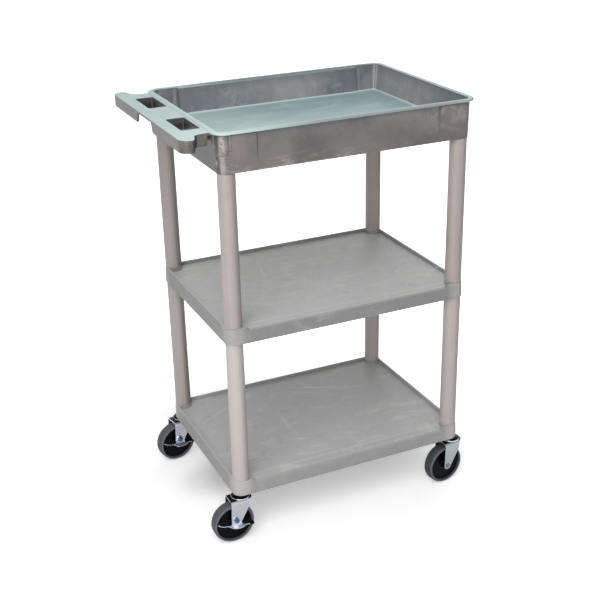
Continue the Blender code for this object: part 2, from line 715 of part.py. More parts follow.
def add_swivel_head(corner, metal, rubber, parent, swivel):
    """Stem, upper race and seal, which stay with the shelf while the fork turns."""
    top = BOSS_BOTTOM - GAP
    race_low = CROWN_TOP + GAP * 2
    stem_top = BOSS_BOTTOM + STEM_LENGTH
    head_top = CROWN_UNDER - GAP
    head_low = head_top - STEM_HEAD_HEIGHT
    stem = turned(
        f"caster_stem_{corner}",
        ((0.0, stem_top), (STEM_RADIUS - SMALL_EDGE, stem_top), (STEM_RADIUS, stem_top - SMALL_EDGE),
         (STEM_RADIUS, head_top), (STEM_HEAD_RADIUS, head_top), (STEM_HEAD_RADIUS, head_low),
         (0.0, head_low)),
        metal, parent, 12, closed=False)
    bore = STEM_RADIUS + GAP
    step = RACE_RADIUS - RACE_WALL
    race_top = min(race_low + RACE_HEIGHT, top)
    race_inside = race_top - RACE_SHOULDER
    race = turned(
        f"caster_race_{corner}",
        ((bore, race_top), (step - RACE_WALL, race_top), (step, race_top - SMALL_EDGE),
         (RACE_RADIUS, race_inside), (RACE_RADIUS, race_low), (step, race_low),
         (step, race_inside), (bore, race_inside)),
        metal, parent, 18)
    seal_low = CROWN_TOP + GAP
    seal_top = min(seal_low + SEAL_HEIGHT, race_inside - GAP)
    seal = turned(
        f"caster_bearing_{corner}",
        ((bore + GAP, seal_top), (SEAL_RADIUS - SMALL_EDGE, seal_top),
         (SEAL_RADIUS, seal_top - SMALL_EDGE), (SEAL_RADIUS, seal_low), (bore + GAP, seal_low)),
        rubber, parent, 14)
    for item in (stem, race, seal):
        item.location = (swivel.location.x, swivel.location.y, 0.0)


def add_wheel(corner, tyre_material, hub_material, axle):
    """Moulded hub with a dished web, and the soft tyre on its rim."""
    seat = WHEEL_RADIUS - TYRE_DEPTH
    half, shoulder = WHEEL_WIDTH / 2, TYRE_SHOULDER
    tread = quarter_round(shoulder, shoulder, 2)
    profile = [(seat + GAP, half)]
    profile += [(WHEEL_RADIUS - drop, half - inset) for inset, drop in tread]
    profile += [(WHEEL_RADIUS - drop, inset - half) for inset, drop in reversed(tread)]
    profile += [(seat + GAP, -half)]
    turned(f"tyre_{corner}", profile, tyre_material, axle, TYRE_SEGMENTS, along_y=True)
    rim = half - shoulder / 4
    inner = seat - HUB_RIM_DEPTH
    web, boss = HUB_WEB / 2, HUB_BOSS_WIDTH / 2
    bore = AXLE_RADIUS + BUSH_WALL + GAP * 2
    turned(
        f"wheel_hub_{corner}",
        ((bore, boss), (HUB_BOSS_RADIUS, boss), (HUB_BOSS_RADIUS + SMALL_EDGE, web),
         (inner, web), (inner + SMALL_EDGE, rim), (seat, rim), (seat, -rim),
         (inner + SMALL_EDGE, -rim), (inner, -web), (HUB_BOSS_RADIUS + SMALL_EDGE, -web),
         (HUB_BOSS_RADIUS, -boss), (bore, -boss)),
        hub_material, axle, HUB_SEGMENTS, along_y=True)


def add_axle(corner, metal, axle):
    """Axle bolt with a low head at the front, its clamped bush and its nut."""
    near = FORK_HALF + GAP
    far = -(FORK_HALF + GAP * 2)
    end = far - AXLE_NUT_HEIGHT - GAP * 3
    radius, head = AXLE_RADIUS, AXLE_HEAD_RADIUS
    turned(
        f"axle_bolt_{corner}",
        ((0.0, near + AXLE_HEAD_HEIGHT), (AXLE_HEAD_CROWN, near + AXLE_HEAD_HEIGHT),
         (head, near + AXLE_HEAD_HEIGHT / 3), (head, near), (radius, near), (radius, end),
         (0.0, end)),
        metal, axle, 12, along_y=True, closed=False)
    half = FORK_GAP / 2 - GAP
    bore = radius + GAP
    turned(
        f"axle_bush_{corner}",
        ((bore, half), (bore + BUSH_WALL, half), (bore + BUSH_WALL, -half), (bore, -half)),
        metal, axle, 12, along_y=True)
    bm = bmesh.new()
    rings = []
    for level in (-far, -far + AXLE_NUT_HEIGHT):
        points = arc((0.0, 0.0), AXLE_NUT_RADIUS, 0, 300, 5)
        rings.append([(x, level, z) for x, z in points])
    loft(bm, rings)
    nut = add_object(f"axle_nut_{corner}", bm, metal, axle)
    add_cross_bore(nut, f"nut_bore_{corner}", bore, (0.0, 0.0), -far - OVERSHOOT,
                   -far + AXLE_NUT_HEIGHT + OVERSHOOT, axle)


def lever_section(x, clearance=0.0):
    """Cross-section of the foot bar at a distance along it from the pivot."""
    bow = 0.0
    if abs(x) < LEVER_BOW_HALF:
        bow = LEVER_BOW * math.cos(math.pi / 2 * x / LEVER_BOW_HALF) ** 2
    level = -LEVER_DROP
    if x < 0:
        level += LEVER_RISE * (x / LEVER_REAR) ** 2
    else:
        level -= LEVER_FALL * min(1.0, x / (LEVER_FRONT - TIP_SOCKET - OVERSHOOT))
    near, far = -LEVER_BAR + clearance, -(LEVER_BAR + LEVER_BAR_WIDTH + bow) - clearance
    half = LEVER_PLATE / 2 + clearance
    return [(x, near, level - half), (x, near, level + half),
            (x, far, level + half), (x, far, level - half)]


def add_lever(corner, material, pivot):
    """The foot bar: an ear on the pivot bolt, a web leaning out, and a bowed bar."""
    bm = bmesh.new()
    length = LEVER_REAR + LEVER_FRONT
    stations = [-LEVER_REAR + length * k / LEVER_STEPS for k in range(LEVER_STEPS + 1)]
    loft(bm, [lever_section(x) for x in stations])
    lever = add_object(f"brake_lever_{corner}", bm, material, pivot, smooth=True)
    bm = bmesh.new()
    points = [(-LEVER_EAR_HALF_FOOT, -LEVER_EAR_FOOT), (LEVER_EAR_HALF_FOOT, -LEVER_EAR_FOOT)]
    points += arc((0.0, 0.0), LEVER_EAR_RADIUS, 0, 180, 8)
    prism(bm, points, -LEVER_INNER - LEVER_PLATE, -LEVER_INNER, axis="Y")
    boolean(lever, add_cutter(f"lever_ear_{corner}", bm, pivot), "UNION")
    bm = bmesh.new()
    inset = LEVER_PLATE / 5
    half = LEVER_EAR_HALF_FOOT - inset
    top = LEVER_PLATE - LEVER_EAR_FOOT
    section = ((-LEVER_INNER - inset, top), (-LEVER_INNER - LEVER_PLATE + inset, top),
               (-LEVER_BAR - LEVER_PLATE - inset, -LEVER_DROP), (-LEVER_BAR - inset, -LEVER_DROP))
    loft(bm, [[(x, y, z) for y, z in section] for x in (-half, half)])
    boolean(lever, add_cutter(f"lever_web_{corner}", bm, pivot), "UNION")
    add_cross_bore(lever, f"lever_bore_{corner}", BRAKE_BOLT_RADIUS + GAP, (0.0, 0.0),
                   -LEVER_INNER - LEVER_PLATE - OVERSHOOT, -LEVER_INNER + OVERSHOOT, pivot)


def add_brake(corner, fork, metal, plastic, axle):
    """Foot bar, its pivot bolt through the fork, and the brake pad on its front end."""
    pivot = add_empty(f"brake_pivot_{corner}", (BRAKE_PIVOT_X, 0.0, BRAKE_PIVOT_RISE), axle)
    add_lever(corner, metal, pivot)

    inside, outside = FORK_HALF - FORK_PLATE, LEVER_INNER + LEVER_PLATE
    add_cross_bore(fork, f"fork_brake_hole_{corner}", BRAKE_BOLT_RADIUS + GAP,
                   (BRAKE_PIVOT_X - CASTER_TRAIL, BRAKE_PIVOT_RISE + WHEEL_RADIUS),
                   -FORK_HALF - OVERSHOOT, -inside + OVERSHOOT, axle.parent)
    head, radius = BRAKE_HEAD_RADIUS, BRAKE_BOLT_RADIUS
    foot = inside - GAP
    collar = outside + GAP
    end = collar + BRAKE_HEX_HEIGHT + LEVER_PLATE
    turned(
        f"brake_bolt_{corner}",
        ((0.0, end), (radius - SMALL_EDGE, end), (radius, end - SMALL_EDGE), (radius, foot),
         (head, foot), (head, foot - AXLE_HEAD_HEIGHT), (0.0, foot - AXLE_HEAD_HEIGHT)),
        metal, pivot, 12, along_y=True, closed=False)
    bm = bmesh.new()
    points = arc((0.0, 0.0), BRAKE_HEX_RADIUS, 0, 300, 5)
    prism(bm, points, -collar - BRAKE_HEX_HEIGHT, -collar, axis="Y")
    nut = add_object(f"brake_nut_{corner}", bm, metal, pivot)
    add_cross_bore(nut, f"brake_nut_bore_{corner}", radius + GAP, (0.0, 0.0),
                   -collar - BRAKE_HEX_HEIGHT - OVERSHOOT, -collar + OVERSHOOT, pivot)

    socket = lever_section(LEVER_FRONT, GAP)
    low, high = socket[0][2] - TIP_WALL, socket[1][2] + TIP_WALL
    back = LEVER_FRONT - TIP_SOCKET
    bm = bmesh.new()
    add_box(bm, (back, socket[2][1] - TIP_WALL, low),
            (LEVER_FRONT + GAP + TIP_WALL, -(WHEEL_WIDTH / 2 + PAD_CLEARANCE), high))
    bmesh.ops.bevel(bm, geom=list(bm.edges), offset=TIP_WALL / 3, segments=1, affect="EDGES")
    tip = add_object(f"brake_tip_{corner}", bm, plastic, pivot)
    bm = bmesh.new()
    ends = (back - OVERSHOOT, LEVER_FRONT + GAP)
    loft(bm, [[(x, y, z) for _, y, z in socket] for x in ends])
    boolean(tip, add_cutter(f"tip_socket_{corner}", bm, pivot))


def add_casters(parent, metal, bearing, hub, tyre, lever_metal, tip):
    """Four swivel casters, all trailing towards the handle, two of them braked."""
    for corner, (sx, sy) in CORNERS.items():
        swivel = add_empty(f"swivel_{corner}", (sx * SWIVEL_X, sy * SWIVEL_Y, 0.0), parent)
        swivel.rotation_euler.z = SWIVEL_TURN.get(corner, 0.0)
        add_swivel_head(corner, metal, bearing, parent, swivel)
        fork = add_fork(corner, metal, swivel)
        axle = add_empty(f"axle_{corner}", (-CASTER_TRAIL, 0.0, WHEEL_RADIUS), swivel)
        add_wheel(corner, tyre, hub, axle)
        add_axle(corner, metal, axle)
        if corner in BRAKED:
            add_brake(corner, fork, lever_metal, tip, axle)


def build():
    cart = add_empty("cart", (-BOX_MIDDLE_X, 0.0, 0.0))
    tub = plain_material("tub_plastic", (0.30, 0.33, 0.33), 0.42)
    grey = plain_material("shelf_plastic", (0.34, 0.34, 0.33), 0.55)
    leg = plain_material("leg_plastic", (0.46, 0.42, 0.41), 0.50)
    zinc = plain_material("zinc_plate", (0.70, 0.73, 0.76), 0.28, 1.0)
    bearing = plain_material("bearing_black", (0.02, 0.02, 0.02), 0.45)
    hub = plain_material("hub_black", (0.015, 0.016, 0.018), 0.30)
    tyre = plain_material("tyre_grey", (0.12, 0.12, 0.125), 0.62)
    lever = plain_material("lever_zinc", (0.72, 0.74, 0.78), 0.30, 1.0)
    tip = plain_material("tip_black", (0.015, 0.015, 0.015), 0.40)

    add_tub(tub, cart)
    middle = add_shelf("middle_shelf", MIDDLE_SHELF_HEIGHT, grey, cart)
    add_lower_sockets(middle, "middle_lower_sockets", MIDDLE_SHELF_HEIGHT, cart)
    bottom = add_shelf("bottom_shelf", BOTTOM_SHELF_HEIGHT, grey, cart)
    stems = [(sx * SWIVEL_X, sy * SWIVEL_Y) for sx, sy in CORNERS.values()]
    add_bores(bottom, "stem_sockets", STEM_RADIUS + GAP, BOSS_BOTTOM - OVERSHOOT,
              BOSS_BOTTOM + STEM_LENGTH + GAP, stems, 12, cart)
    add_legs(leg, cart)
    add_casters(cart, zinc, bearing, hub, tyre, lever, tip)


clear_scene()
PARTS = new_collection("utility_cart")
CUTTERS = new_collection("utility_cart_cutters")
build()
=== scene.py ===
"""Moulded three-shelf cart in a plain pale studio."""

import json
import math

import bmesh
import bpy
from mathutils import Matrix, Vector


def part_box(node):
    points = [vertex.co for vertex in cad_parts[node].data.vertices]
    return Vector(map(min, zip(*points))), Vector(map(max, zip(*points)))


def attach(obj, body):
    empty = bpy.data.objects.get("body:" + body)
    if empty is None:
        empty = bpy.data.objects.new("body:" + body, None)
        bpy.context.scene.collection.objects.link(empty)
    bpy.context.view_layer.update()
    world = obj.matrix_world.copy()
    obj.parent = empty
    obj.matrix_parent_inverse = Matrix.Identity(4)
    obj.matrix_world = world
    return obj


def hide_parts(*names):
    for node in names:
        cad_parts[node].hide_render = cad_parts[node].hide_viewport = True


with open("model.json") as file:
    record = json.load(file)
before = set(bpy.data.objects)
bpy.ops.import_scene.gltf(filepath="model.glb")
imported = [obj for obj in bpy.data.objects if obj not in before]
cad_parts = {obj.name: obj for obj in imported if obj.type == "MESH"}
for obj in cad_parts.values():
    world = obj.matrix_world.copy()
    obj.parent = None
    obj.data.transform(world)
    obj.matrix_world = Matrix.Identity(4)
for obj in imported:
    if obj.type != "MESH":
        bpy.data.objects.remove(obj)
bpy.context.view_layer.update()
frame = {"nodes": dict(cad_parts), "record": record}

# The photograph's view, solved from the cart's edges. The camera's place is given
# from the floor point under the middle of the four legs.
PICTURE_SIZE = 600
FOCAL_PIXELS = 1095.15
SENSOR_WIDTH = 36.0
CAMERA_FROM_LEGS = Vector((-1.0537, -2.2481, 1.5695))
CAMERA_YAW = math.radians(-24.5081)
CAMERA_PITCH = math.radians(-23.7346)
CAMERA_ROLL = math.radians(-1.251)

CORNERS = {
    "front_left": (-1, -1),
    "front_right": (1, -1),
    "rear_left": (-1, 1),
    "rear_right": (1, 1),
}
BRAKED = ("front_left", "rear_left")
JOINTS = {row["name"]: row for row in frame["record"]["behaviour"]["joints"]}


def box_middle(node):
    """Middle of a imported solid's box."""
    low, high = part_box(node)
    return (low + high) / 2


LEG_MIDDLES = [box_middle(f"leg_upper_{corner}") for corner in CORNERS]
CART_MIDDLE = sum(LEG_MIDDLES, Vector()) / len(LEG_MIDDLES)
CART_MIDDLE.z = 0.0
LEG_X = LEG_MIDDLES[-1].x - CART_MIDDLE.x
LEG_Y = LEG_MIDDLES[-1].y
LEG_LOW, LEG_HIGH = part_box("leg_upper_rear_right")
LEG_RADIUS = (LEG_HIGH.x - LEG_LOW.x) / 2

# Skin is a clearance too small to see, overcut is how far a cutting shape reaches past the
# surface that it opens, and points nearer than the weld gap become one.
SKIN = 0.0003
OVERCUT = 0.002
WELD_GAP = 0.00001

# Tub, measured from the middle of the legs
TUB_LOW, TUB_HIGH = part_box("tub_shelf")
RIM_TOP = TUB_HIGH.z
TUB_BASE = TUB_LOW.z + 0.0005
RIM_HALF_X = TUB_HIGH.x - CART_MIDDLE.x
RIM_HALF_Y = max(v.co.y for v in frame["nodes"]["tub_shelf"].data.vertices if v.co.x > 0)
RIM_OVERHANG = 0.0098
RIM_LIP = 0.0052
RIM_UNDER = RIM_TOP - RIM_LIP
RIM_ROUND = 0.0034
RIM_INNER_ROUND = 0.005
TUB_HALF_X = RIM_HALF_X - RIM_OVERHANG
TUB_HALF_Y = RIM_HALF_Y - RIM_OVERHANG
TUB_WALL = 0.0052
TUB_FLOOR = 0.0042
TUB_DRAFT = 0.0014
TUB_CORNER = TUB_HALF_X - LEG_X
TUB_EDGE = 0.0006
BASIN_DRAFT = 0.01
BASIN_DEPTH = 0.0655
BASIN_FLOOR = RIM_TOP - BASIN_DEPTH
BASIN_FILLET = 0.0036
PANEL_INSET = 0.0036
PANEL_HALF_LENGTH = 0.217
PANEL_INNER_HALF_LENGTH = 0.236
PANEL_STEP = 0.0026
PANEL_FADE_HEIGHT = 0.017
CORNER_STEPS = 16
GROOVE_RADIUS = 0.0042
GROOVE_OFFSET = 0.0028
GROOVE_DEPTH = 0.0034
GROOVE_BOTTOM = 0.047
RIB_HALF = 0.00175
LONG_RIB_DEPTH = 0.01
CROSS_RIB_DEPTH = 0.0116
SOCKET_COLLAR = LEG_RADIUS + 0.0007
SOCKET_RADIUS = 0.0165
SOCKET_DEPTH = 0.0158

# Handle, measured from the middle of the legs
HANDLE_X = TUB_LOW.x - CART_MIDDLE.x
HANDLE_HALF_WIDTH = TUB_HIGH.y
HANDLE_TOP = RIM_TOP - 0.0026
HANDLE_LOW = RIM_TOP - 0.029
HANDLE_PLATE = 0.005
HANDLE_WALL = 0.004
HANDLE_EDGE = 0.0024
LOBE_LENGTH = 0.042
LOBE_RADIUS = 0.021
LOBE_STEPS = 18
NECK_HALF_WIDTH = 0.203
NECK_GAP = 0.015
HOLE_X = HANDLE_X + 0.0295
HOLE_WALL = 0.003
HOLE_EDGE = 0.0012
HAND_HOLE_WIDTH = 0.0413
HAND_HOLE_LENGTH = 0.103
HAND_HOLE_GAP = 0.111
HAND_HOLE_RADIUS = 0.004
NOTCH_HALF_LENGTH = 0.0465
NOTCH_FLARE = 0.008

# Shelves and legs. The front slope's foot and crest are places along Y, and the scuffs
# spread from one spot.
SHELF_EDGE = 0.0008
SHELF_FRONT_FOOT = -0.187
SHELF_FRONT_CREST = -0.2131
SCUFF_X = -0.03
SCUFF_Y = 0.19
LEG_SPIGOT = 0.0162
LEG_SPIGOT_LENGTH = 0.015
LEG_BORE = 0.0128
LEG_SHOULDER = 0.0009

# Wheels, measured from their axles
WHEEL_RADIUS = 0.0508
WHEEL_HALF = 0.0155
SEAT_RADIUS = 0.0408
HUB_RADIUS = 0.0434
HUB_FACE = 0.0072
HUB_BOSS = 0.0175
HUB_BORE = 0.0061

# Caster heads, measured from their upright axes. The race is black above a height, as painted shade.
RACE_RADIUS = 0.0222
RACE_BORE = 0.0051
RACE_DEPTH = 0.0028
RACE_PLATE = 0.0018
RACE_SHADE_ABOVE = 0.118
SEAL_RADIUS = 0.0195

# Forks, measured from their upright axes
FORK_PLATE = 0.0025
FORK_GAP = 0.037
FORK_HALF = FORK_GAP / 2 + FORK_PLATE
FORK_BEND = 0.0065
FORK_END_RADIUS = 0.01
FORK_FRONT = 0.0125
FORK_SHOULDER = 0.02
FORK_STEM_BORE = 0.0054
FORK_AXLE_BORE = 0.0043
FORK_EDGE = 0.0004
CROWN_RADIUS = 0.0265
CROWN_REAR = 0.03
CASTER_TRAIL = 0.0218

# Brake levers, measured from their pivots, and across from the fork's middle
LEVER_REAR = 0.047
LEVER_FRONT = 0.0405
LEVER_STEPS = 56
LEVER_PLATE = 0.002
LEVER_INNER = FORK_HALF + SKIN
LEVER_BAR = LEVER_INNER + 0.0022
LEVER_BAR_WIDTH = 0.003
LEVER_BAR_EDGE = 0.0006
LEVER_BOW = 0.0072
LEVER_BOW_HALF = 0.0235
LEVER_LEAN = 0.0046
LEVER_LOOP = 0.003
LEVER_LOOP_MIDDLE = 0.037
LEVER_LOOP_HALF = 0.0102
LEVER_DROP = 0.0117
LEVER_RISE = 0.0125
LEVER_FALL = 0.0055
LEVER_FALL_LENGTH = 0.03
LEVER_BORE = 0.0033
LEVER_EDGE = 0.0003
EAR_RADIUS = 0.0088
EAR_HALF_FOOT = 0.0125
EAR_FOOT = 0.0065

# Studio. The floor shows white to the camera, less so within reach of the cart's shadow and
# least under the handle's end. The right side is the level direction to the right in the
# photograph. A lamp has a place, an aim, a size and a power.
FLOOR_HALF = 12.0
FLOOR_GLOW = 0.3
WORLD_LIGHT = 0.4
SHADOW_REACH = 0.42
SHADOW_MIDDLE = (-0.14, -0.02, 0.0)
END_SHADE = 0.85
END_SHADE_REACH = 0.12
END_SHADE_CORE = 0.02
END_SHADE_MIDDLE = (CART_MIDDLE.x - 0.27, 0.06, 0.0)
RIGHT_SIDE = (0.91, -0.41, 0.0)
LAMPS = {
    "key": ((-1.5, -2.0, 2.7), (0.0, 0.0, 0.4), 2.6, 66.0),
    "low": ((-1.3, -1.7, 0.5), (-0.1, 0.0, 0.25), 1.0, 8.5),
    "back": ((1.88, 3.26, 1.87), (0.0, 0.0, 0.5), 2.0, 12.0),
}


class Shade:
    """A node socket that can be used in plain arithmetic."""

    def __init__(self, tree, socket):
        self.tree = tree
        self.socket = socket

    def math(self, operation, other=None, swap=False):
        """A maths node on this value, and on another if one is given."""
        node = self.tree.nodes.new("ShaderNodeMath")
        node.operation = operation
        feed(self.tree, node.inputs[1 if swap else 0], self)
        if other is not None:
            feed(self.tree, node.inputs[0 if swap else 1], other)
        return Shade(self.tree, node.outputs[0])

    def __add__(self, other):
        return self.math("ADD", other)

    __radd__ = __add__

    def __sub__(self, other):
        return self.math("SUBTRACT", other)

    def __rsub__(self, other):
        return self.math("SUBTRACT", other, swap=True)

    def __mul__(self, other):
        return self.math("MULTIPLY", other)

    __rmul__ = __mul__


def feed(tree, socket, value):
    """Links a Shade to a socket, or sets the socket to a plain value."""
    if isinstance(value, Shade):
        tree.links.new(value.socket, socket)
    else:
        socket.default_value = value


class Finish:
    """One material under construction: makes nodes and ends in a Principled shader."""

    def __init__(self, name, **fixed):
        self.material = bpy.data.materials.new(name)
        self.material.use_nodes = True
        self.tree = self.material.node_tree
        self.shader = self.tree.nodes["Principled BSDF"]
        for key, value in fixed.items():
            self.shader.inputs[key.replace("_", " ")].default_value = value

    def node(self, kind, settings=None, output=0, **inputs):
        """One output of a new node. An input goes by its name, or by its number as in i0."""
        made = self.tree.nodes.new(kind)
        for key, value in (settings or {}).items():
            setattr(made, key, value)
        for key, value in inputs.items():
            name = int(key[1:]) if key[0] == "i" and key[1:].isdigit() else key.replace("_", " ")
            feed(self.tree, made.inputs[name], value)
        return Shade(self.tree, made.outputs[output])

    def point(self):
        """Object coordinates, which are the frame's own metres."""
        return self.node("ShaderNodeTexCoord", output=3)

    def part(self, value, axis):
        """One axis of a vector."""
        return self.node("ShaderNodeSeparateXYZ", output="XYZ".index(axis), Vector=value)

    def noise(self, scale, detail=3.0, rough=0.55, stretch=(1.0, 1.0, 1.0), warp=0.0):
        """Noise through the whole object, finer along an axis that is stretched more."""
        place = self.node("ShaderNodeMapping", i0=self.point(), i3=stretch)
        return self.node("ShaderNodeTexNoise", i0=place, Scale=scale, Detail=detail,
                         Roughness=rough, Distortion=warp)

    def band(self, value, low, high):
        """0 below low, 1 above high, smooth between."""
        return self.node("ShaderNodeMapRange", {"interpolation_type": "SMOOTHSTEP"},
                         Value=value, From_Min=low, From_Max=high, To_Min=0.0, To_Max=1.0)

    def line(self, value, middle, half, core=0.4):
        """1 about a middle value, 0 further off than half, smooth between."""
        off = (value - middle).math("ABSOLUTE")
        return self.band(off, half, half * core)

    def up(self):
        """Height of the surface's own normal: 1 facing up, 0 upright, -1 facing down."""
        return self.part(self.node("ShaderNodeNewGeometry", output=1), "Z")

    def facing(self, direction):
        """1 where the surface's own normal points along a level direction, -1 away from it."""
        normal = self.node("ShaderNodeNewGeometry", output=1)
        return self.node("ShaderNodeVectorMath", {"operation": "DOT_PRODUCT"}, output=1,
                         i0=normal, i1=direction)

    def away(self, place):
        """Distance from a fixed place."""
        return self.node("ShaderNodeVectorMath", {"operation": "DISTANCE"}, output=1,
                         i0=self.point(), i1=place)

    def blend(self, factor, low, high):
        """Mix of two colours."""
        return self.node("ShaderNodeMix", {"data_type": "RGBA"}, output=2, i0=factor, i6=low, i7=high)

    def layers(self, base, *rows):
        """Lays one plain colour after another over a base, each as far as its share says."""
        color = base if isinstance(base, Shade) else srgb(*base)
        for share, paint in rows:
            color = self.blend(share, color, srgb(*paint))
        return color

    def bump(self, height, distance):
        """A normal for small bumps of a greatest height."""
        return self.node("ShaderNodeBump", Height=height, Distance=distance, Strength=1.0)

    def use(self, **varying):
        """Feeds the shader and gives the finished material."""
        for key, value in varying.items():
            feed(self.tree, self.shader.inputs[key.replace("_", " ")], value)
        return self.material


def srgb(red, green, blue):
    """Linear colour from the usual 0 to 255 values."""
    def linear(value):
        value /= 255.0
        return value / 12.92 if value <= 0.04045 else ((value + 0.055) / 1.055) ** 2.4
    return (linear(red), linear(green), linear(blue), 1.0)


class TubPlaces:
    """Where a point lies on the tub, as lengths and shares, and the noises of its finish."""

    def __init__(self, f):
        self.height = f.part(f.point(), "Z")
        self.along = f.part(f.point(), "X") - CART_MIDDLE.x
        self.across = f.part(f.point(), "Y")
        self.reach = self.along.math("ABSOLUTE")
        self.corner_x = (self.reach - LEG_X).math("MAXIMUM", 0.0)
        self.corner_y = (self.across.math("ABSOLUTE") - LEG_Y).math("MAXIMUM", 0.0)
        self.on_round = self.corner_x * self.corner_y
        off_leg = (self.corner_x * self.corner_x + self.corner_y * self.corner_y).math("SQRT")
        above_floor = f.band(self.height, BASIN_FLOOR - 0.004, BASIN_FLOOR - 0.002)
        self.inside = f.band(off_leg, TUB_CORNER - 0.001, TUB_CORNER - 0.003) * above_floor
        self.in_basin = self.inside * f.band(self.height, RIM_TOP - 0.001, RIM_TOP - 0.006)
        self.on_tub = f.band(self.along, -TUB_HALF_X - 0.006, -TUB_HALF_X - 0.003)
        self.handle_end = f.band(self.along, 0.05, -0.05)
        self.swirl = f.noise(9.0, 5.0, 0.62, stretch=(1.0, 1.0, 2.2), warp=1.6)
        self.fine = f.noise(46.0, 4.0, 0.6, stretch=(1.0, 1.0, 1.6), warp=0.8)
        self.cloud = f.noise(5.5, 3.0, 0.55, warp=0.6)
        self.brushed = f.noise(70.0, 3.0, 0.6, stretch=(1.0, 1.0, 0.12))
        self.mottle = f.noise(24.0, 6.0, 0.72, stretch=(1.0, 1.0, 0.8), warp=1.2)
        self.streak = f.band(self.swirl, 0.6, 0.78) * 0.55 + f.band(self.fine, 0.6, 0.78) * 0.3


def outer_walls(f, at):
    """Dark outer walls worn at the foot, with painted light at ends and corners and painted shade in
    the panel creases.
    """
    clouds = f.band(at.cloud + 0.15 * at.fine, 0.34, 0.76)
    # Painted light: paler patches towards both ends of the tub.
    ends = f.band(at.reach, 0.19, 0.27) * at.on_tub * f.band(at.corner_x, 0.02, 0.012)
    ends = ends * f.band(at.cloud + 0.3 * at.swirl, 0.45, 0.78)
    # Painted shade: the end wall under the handle is darkened.
    end_wall = f.band(f.facing((-1.0, 0.0, 0.0)), 0.75, 0.98) * at.on_tub
    # Painted highlight: a pale band down the handle end's corner columns, broken into patches.
    column_highlight = f.line(at.corner_y - at.corner_x, 0.003, 0.013, 0.2) * f.band(at.corner_x, 0.0, 0.002)
    patches = f.noise(34.0, 5.0, 0.7, stretch=(1.0, 1.0, 0.45), warp=0.8)
    patches = f.band(patches, 0.4, 0.62) * f.band(at.height, TUB_BASE - 0.02, RIM_TOP - 0.02)
    column_highlight = column_highlight * at.handle_end * at.on_tub * (0.15 + 0.75 * patches)
    # Darker patches on the handle end's corner rounds, near the rim.
    dark_patches = at.handle_end * f.band(at.on_round, 0.0, 0.00002) * f.line(at.height, RIM_TOP - 0.03, 0.04)
    dark_patches = dark_patches * f.band(at.fine, 0.5, 0.36)
    # Painted highlight: pale upright streaks on the handle's sides, beyond the tub.
    handle_side_highlight = f.band(at.brushed, 0.52, 0.66) * (1.0 - at.on_tub)
    # Painted shade: a darker sweep low on the walls at the right end, its edge rising to the right.
    shade_sweep = at.height - TUB_BASE - 0.3 * (at.along - 0.16)
    shade_sweep = f.band(shade_sweep + 0.03 * at.cloud, 0.034, 0.018) * f.band(at.along, 0.1, 0.19)
    # Painted shade: the corner rounds darken as they turn towards the right side.
    far_edge_shade = f.band(f.facing(RIGHT_SIDE), 0.45, 0.98) * f.band(at.corner_x, 0.0, 0.002)
    far_edge_shade = far_edge_shade * f.band(at.corner_y, 0.0, 0.007)
    scrape = f.noise(40.0, 6.0, 0.75, stretch=(0.35, 1.0, 1.4), warp=0.8)
    worn_foot = f.band(at.height, TUB_BASE + 0.034, TUB_BASE + 0.006) * f.band(at.along, 0.08, -0.04)
    worn_foot = worn_foot * f.band(scrape, 0.46, 0.62) * f.band(at.corner_x, 0.012, 0.004)
    worn_side = f.band(at.along, 0.12, 0.24) * f.band(at.height, TUB_BASE + 0.025, TUB_BASE + 0.06)
    worn_side = worn_side * f.band(at.mottle, 0.46, 0.62)
    dull = f.band(at.mottle, 0.46, 0.34) * at.on_tub
    # Painted shadow: a dark band on the walls just under the rim's lip.
    rim_shadow = f.band(at.height, RIM_UNDER - 0.0055, RIM_UNDER - 0.0035) * at.on_tub
    # Painted shade: a dark line in the step beside each outer panel.
    crease_shade = f.line(at.reach, PANEL_HALF_LENGTH + PANEL_STEP / 2, 0.0026)
    crease_shade = crease_shade * f.band(at.height, TUB_BASE + 0.006, TUB_BASE + 0.06)
    scuffs = f.band(f.noise(60.0, 5.0, 0.7, warp=0.4), 0.54, 0.62) * f.band(at.on_round, 0.0, 0.00004)
    scuffs = scuffs * f.band(at.height, TUB_BASE + 0.05, TUB_BASE + 0.03) * at.handle_end
    return f.layers(
        (84, 80, 81),
        (clouds, (112, 107, 106)),
        (ends, (128, 120, 119)),
        (end_wall * 0.9, (42, 40, 38)),
        (column_highlight, (184, 175, 171)),
        (dark_patches * 0.6, (58, 55, 55)),
        (handle_side_highlight * 0.12, (156, 152, 150)),
        ((1.0 - at.on_tub) * 0.45, (52, 50, 49)),
        (shade_sweep * 0.6, (84, 80, 81)),
        (far_edge_shade * 0.9, (34, 33, 34)),
        (at.streak, (146, 139, 137)),
        ((worn_foot * 0.5 + worn_side * 0.4) * at.on_tub, (172, 163, 160)),
        (dull * 0.22, (62, 59, 60)),
        (rim_shadow * 0.8, (36, 36, 38)),
        (crease_shade * 0.8, (44, 41, 42)),
        (scuffs * 0.6, (176, 166, 163)),
    )


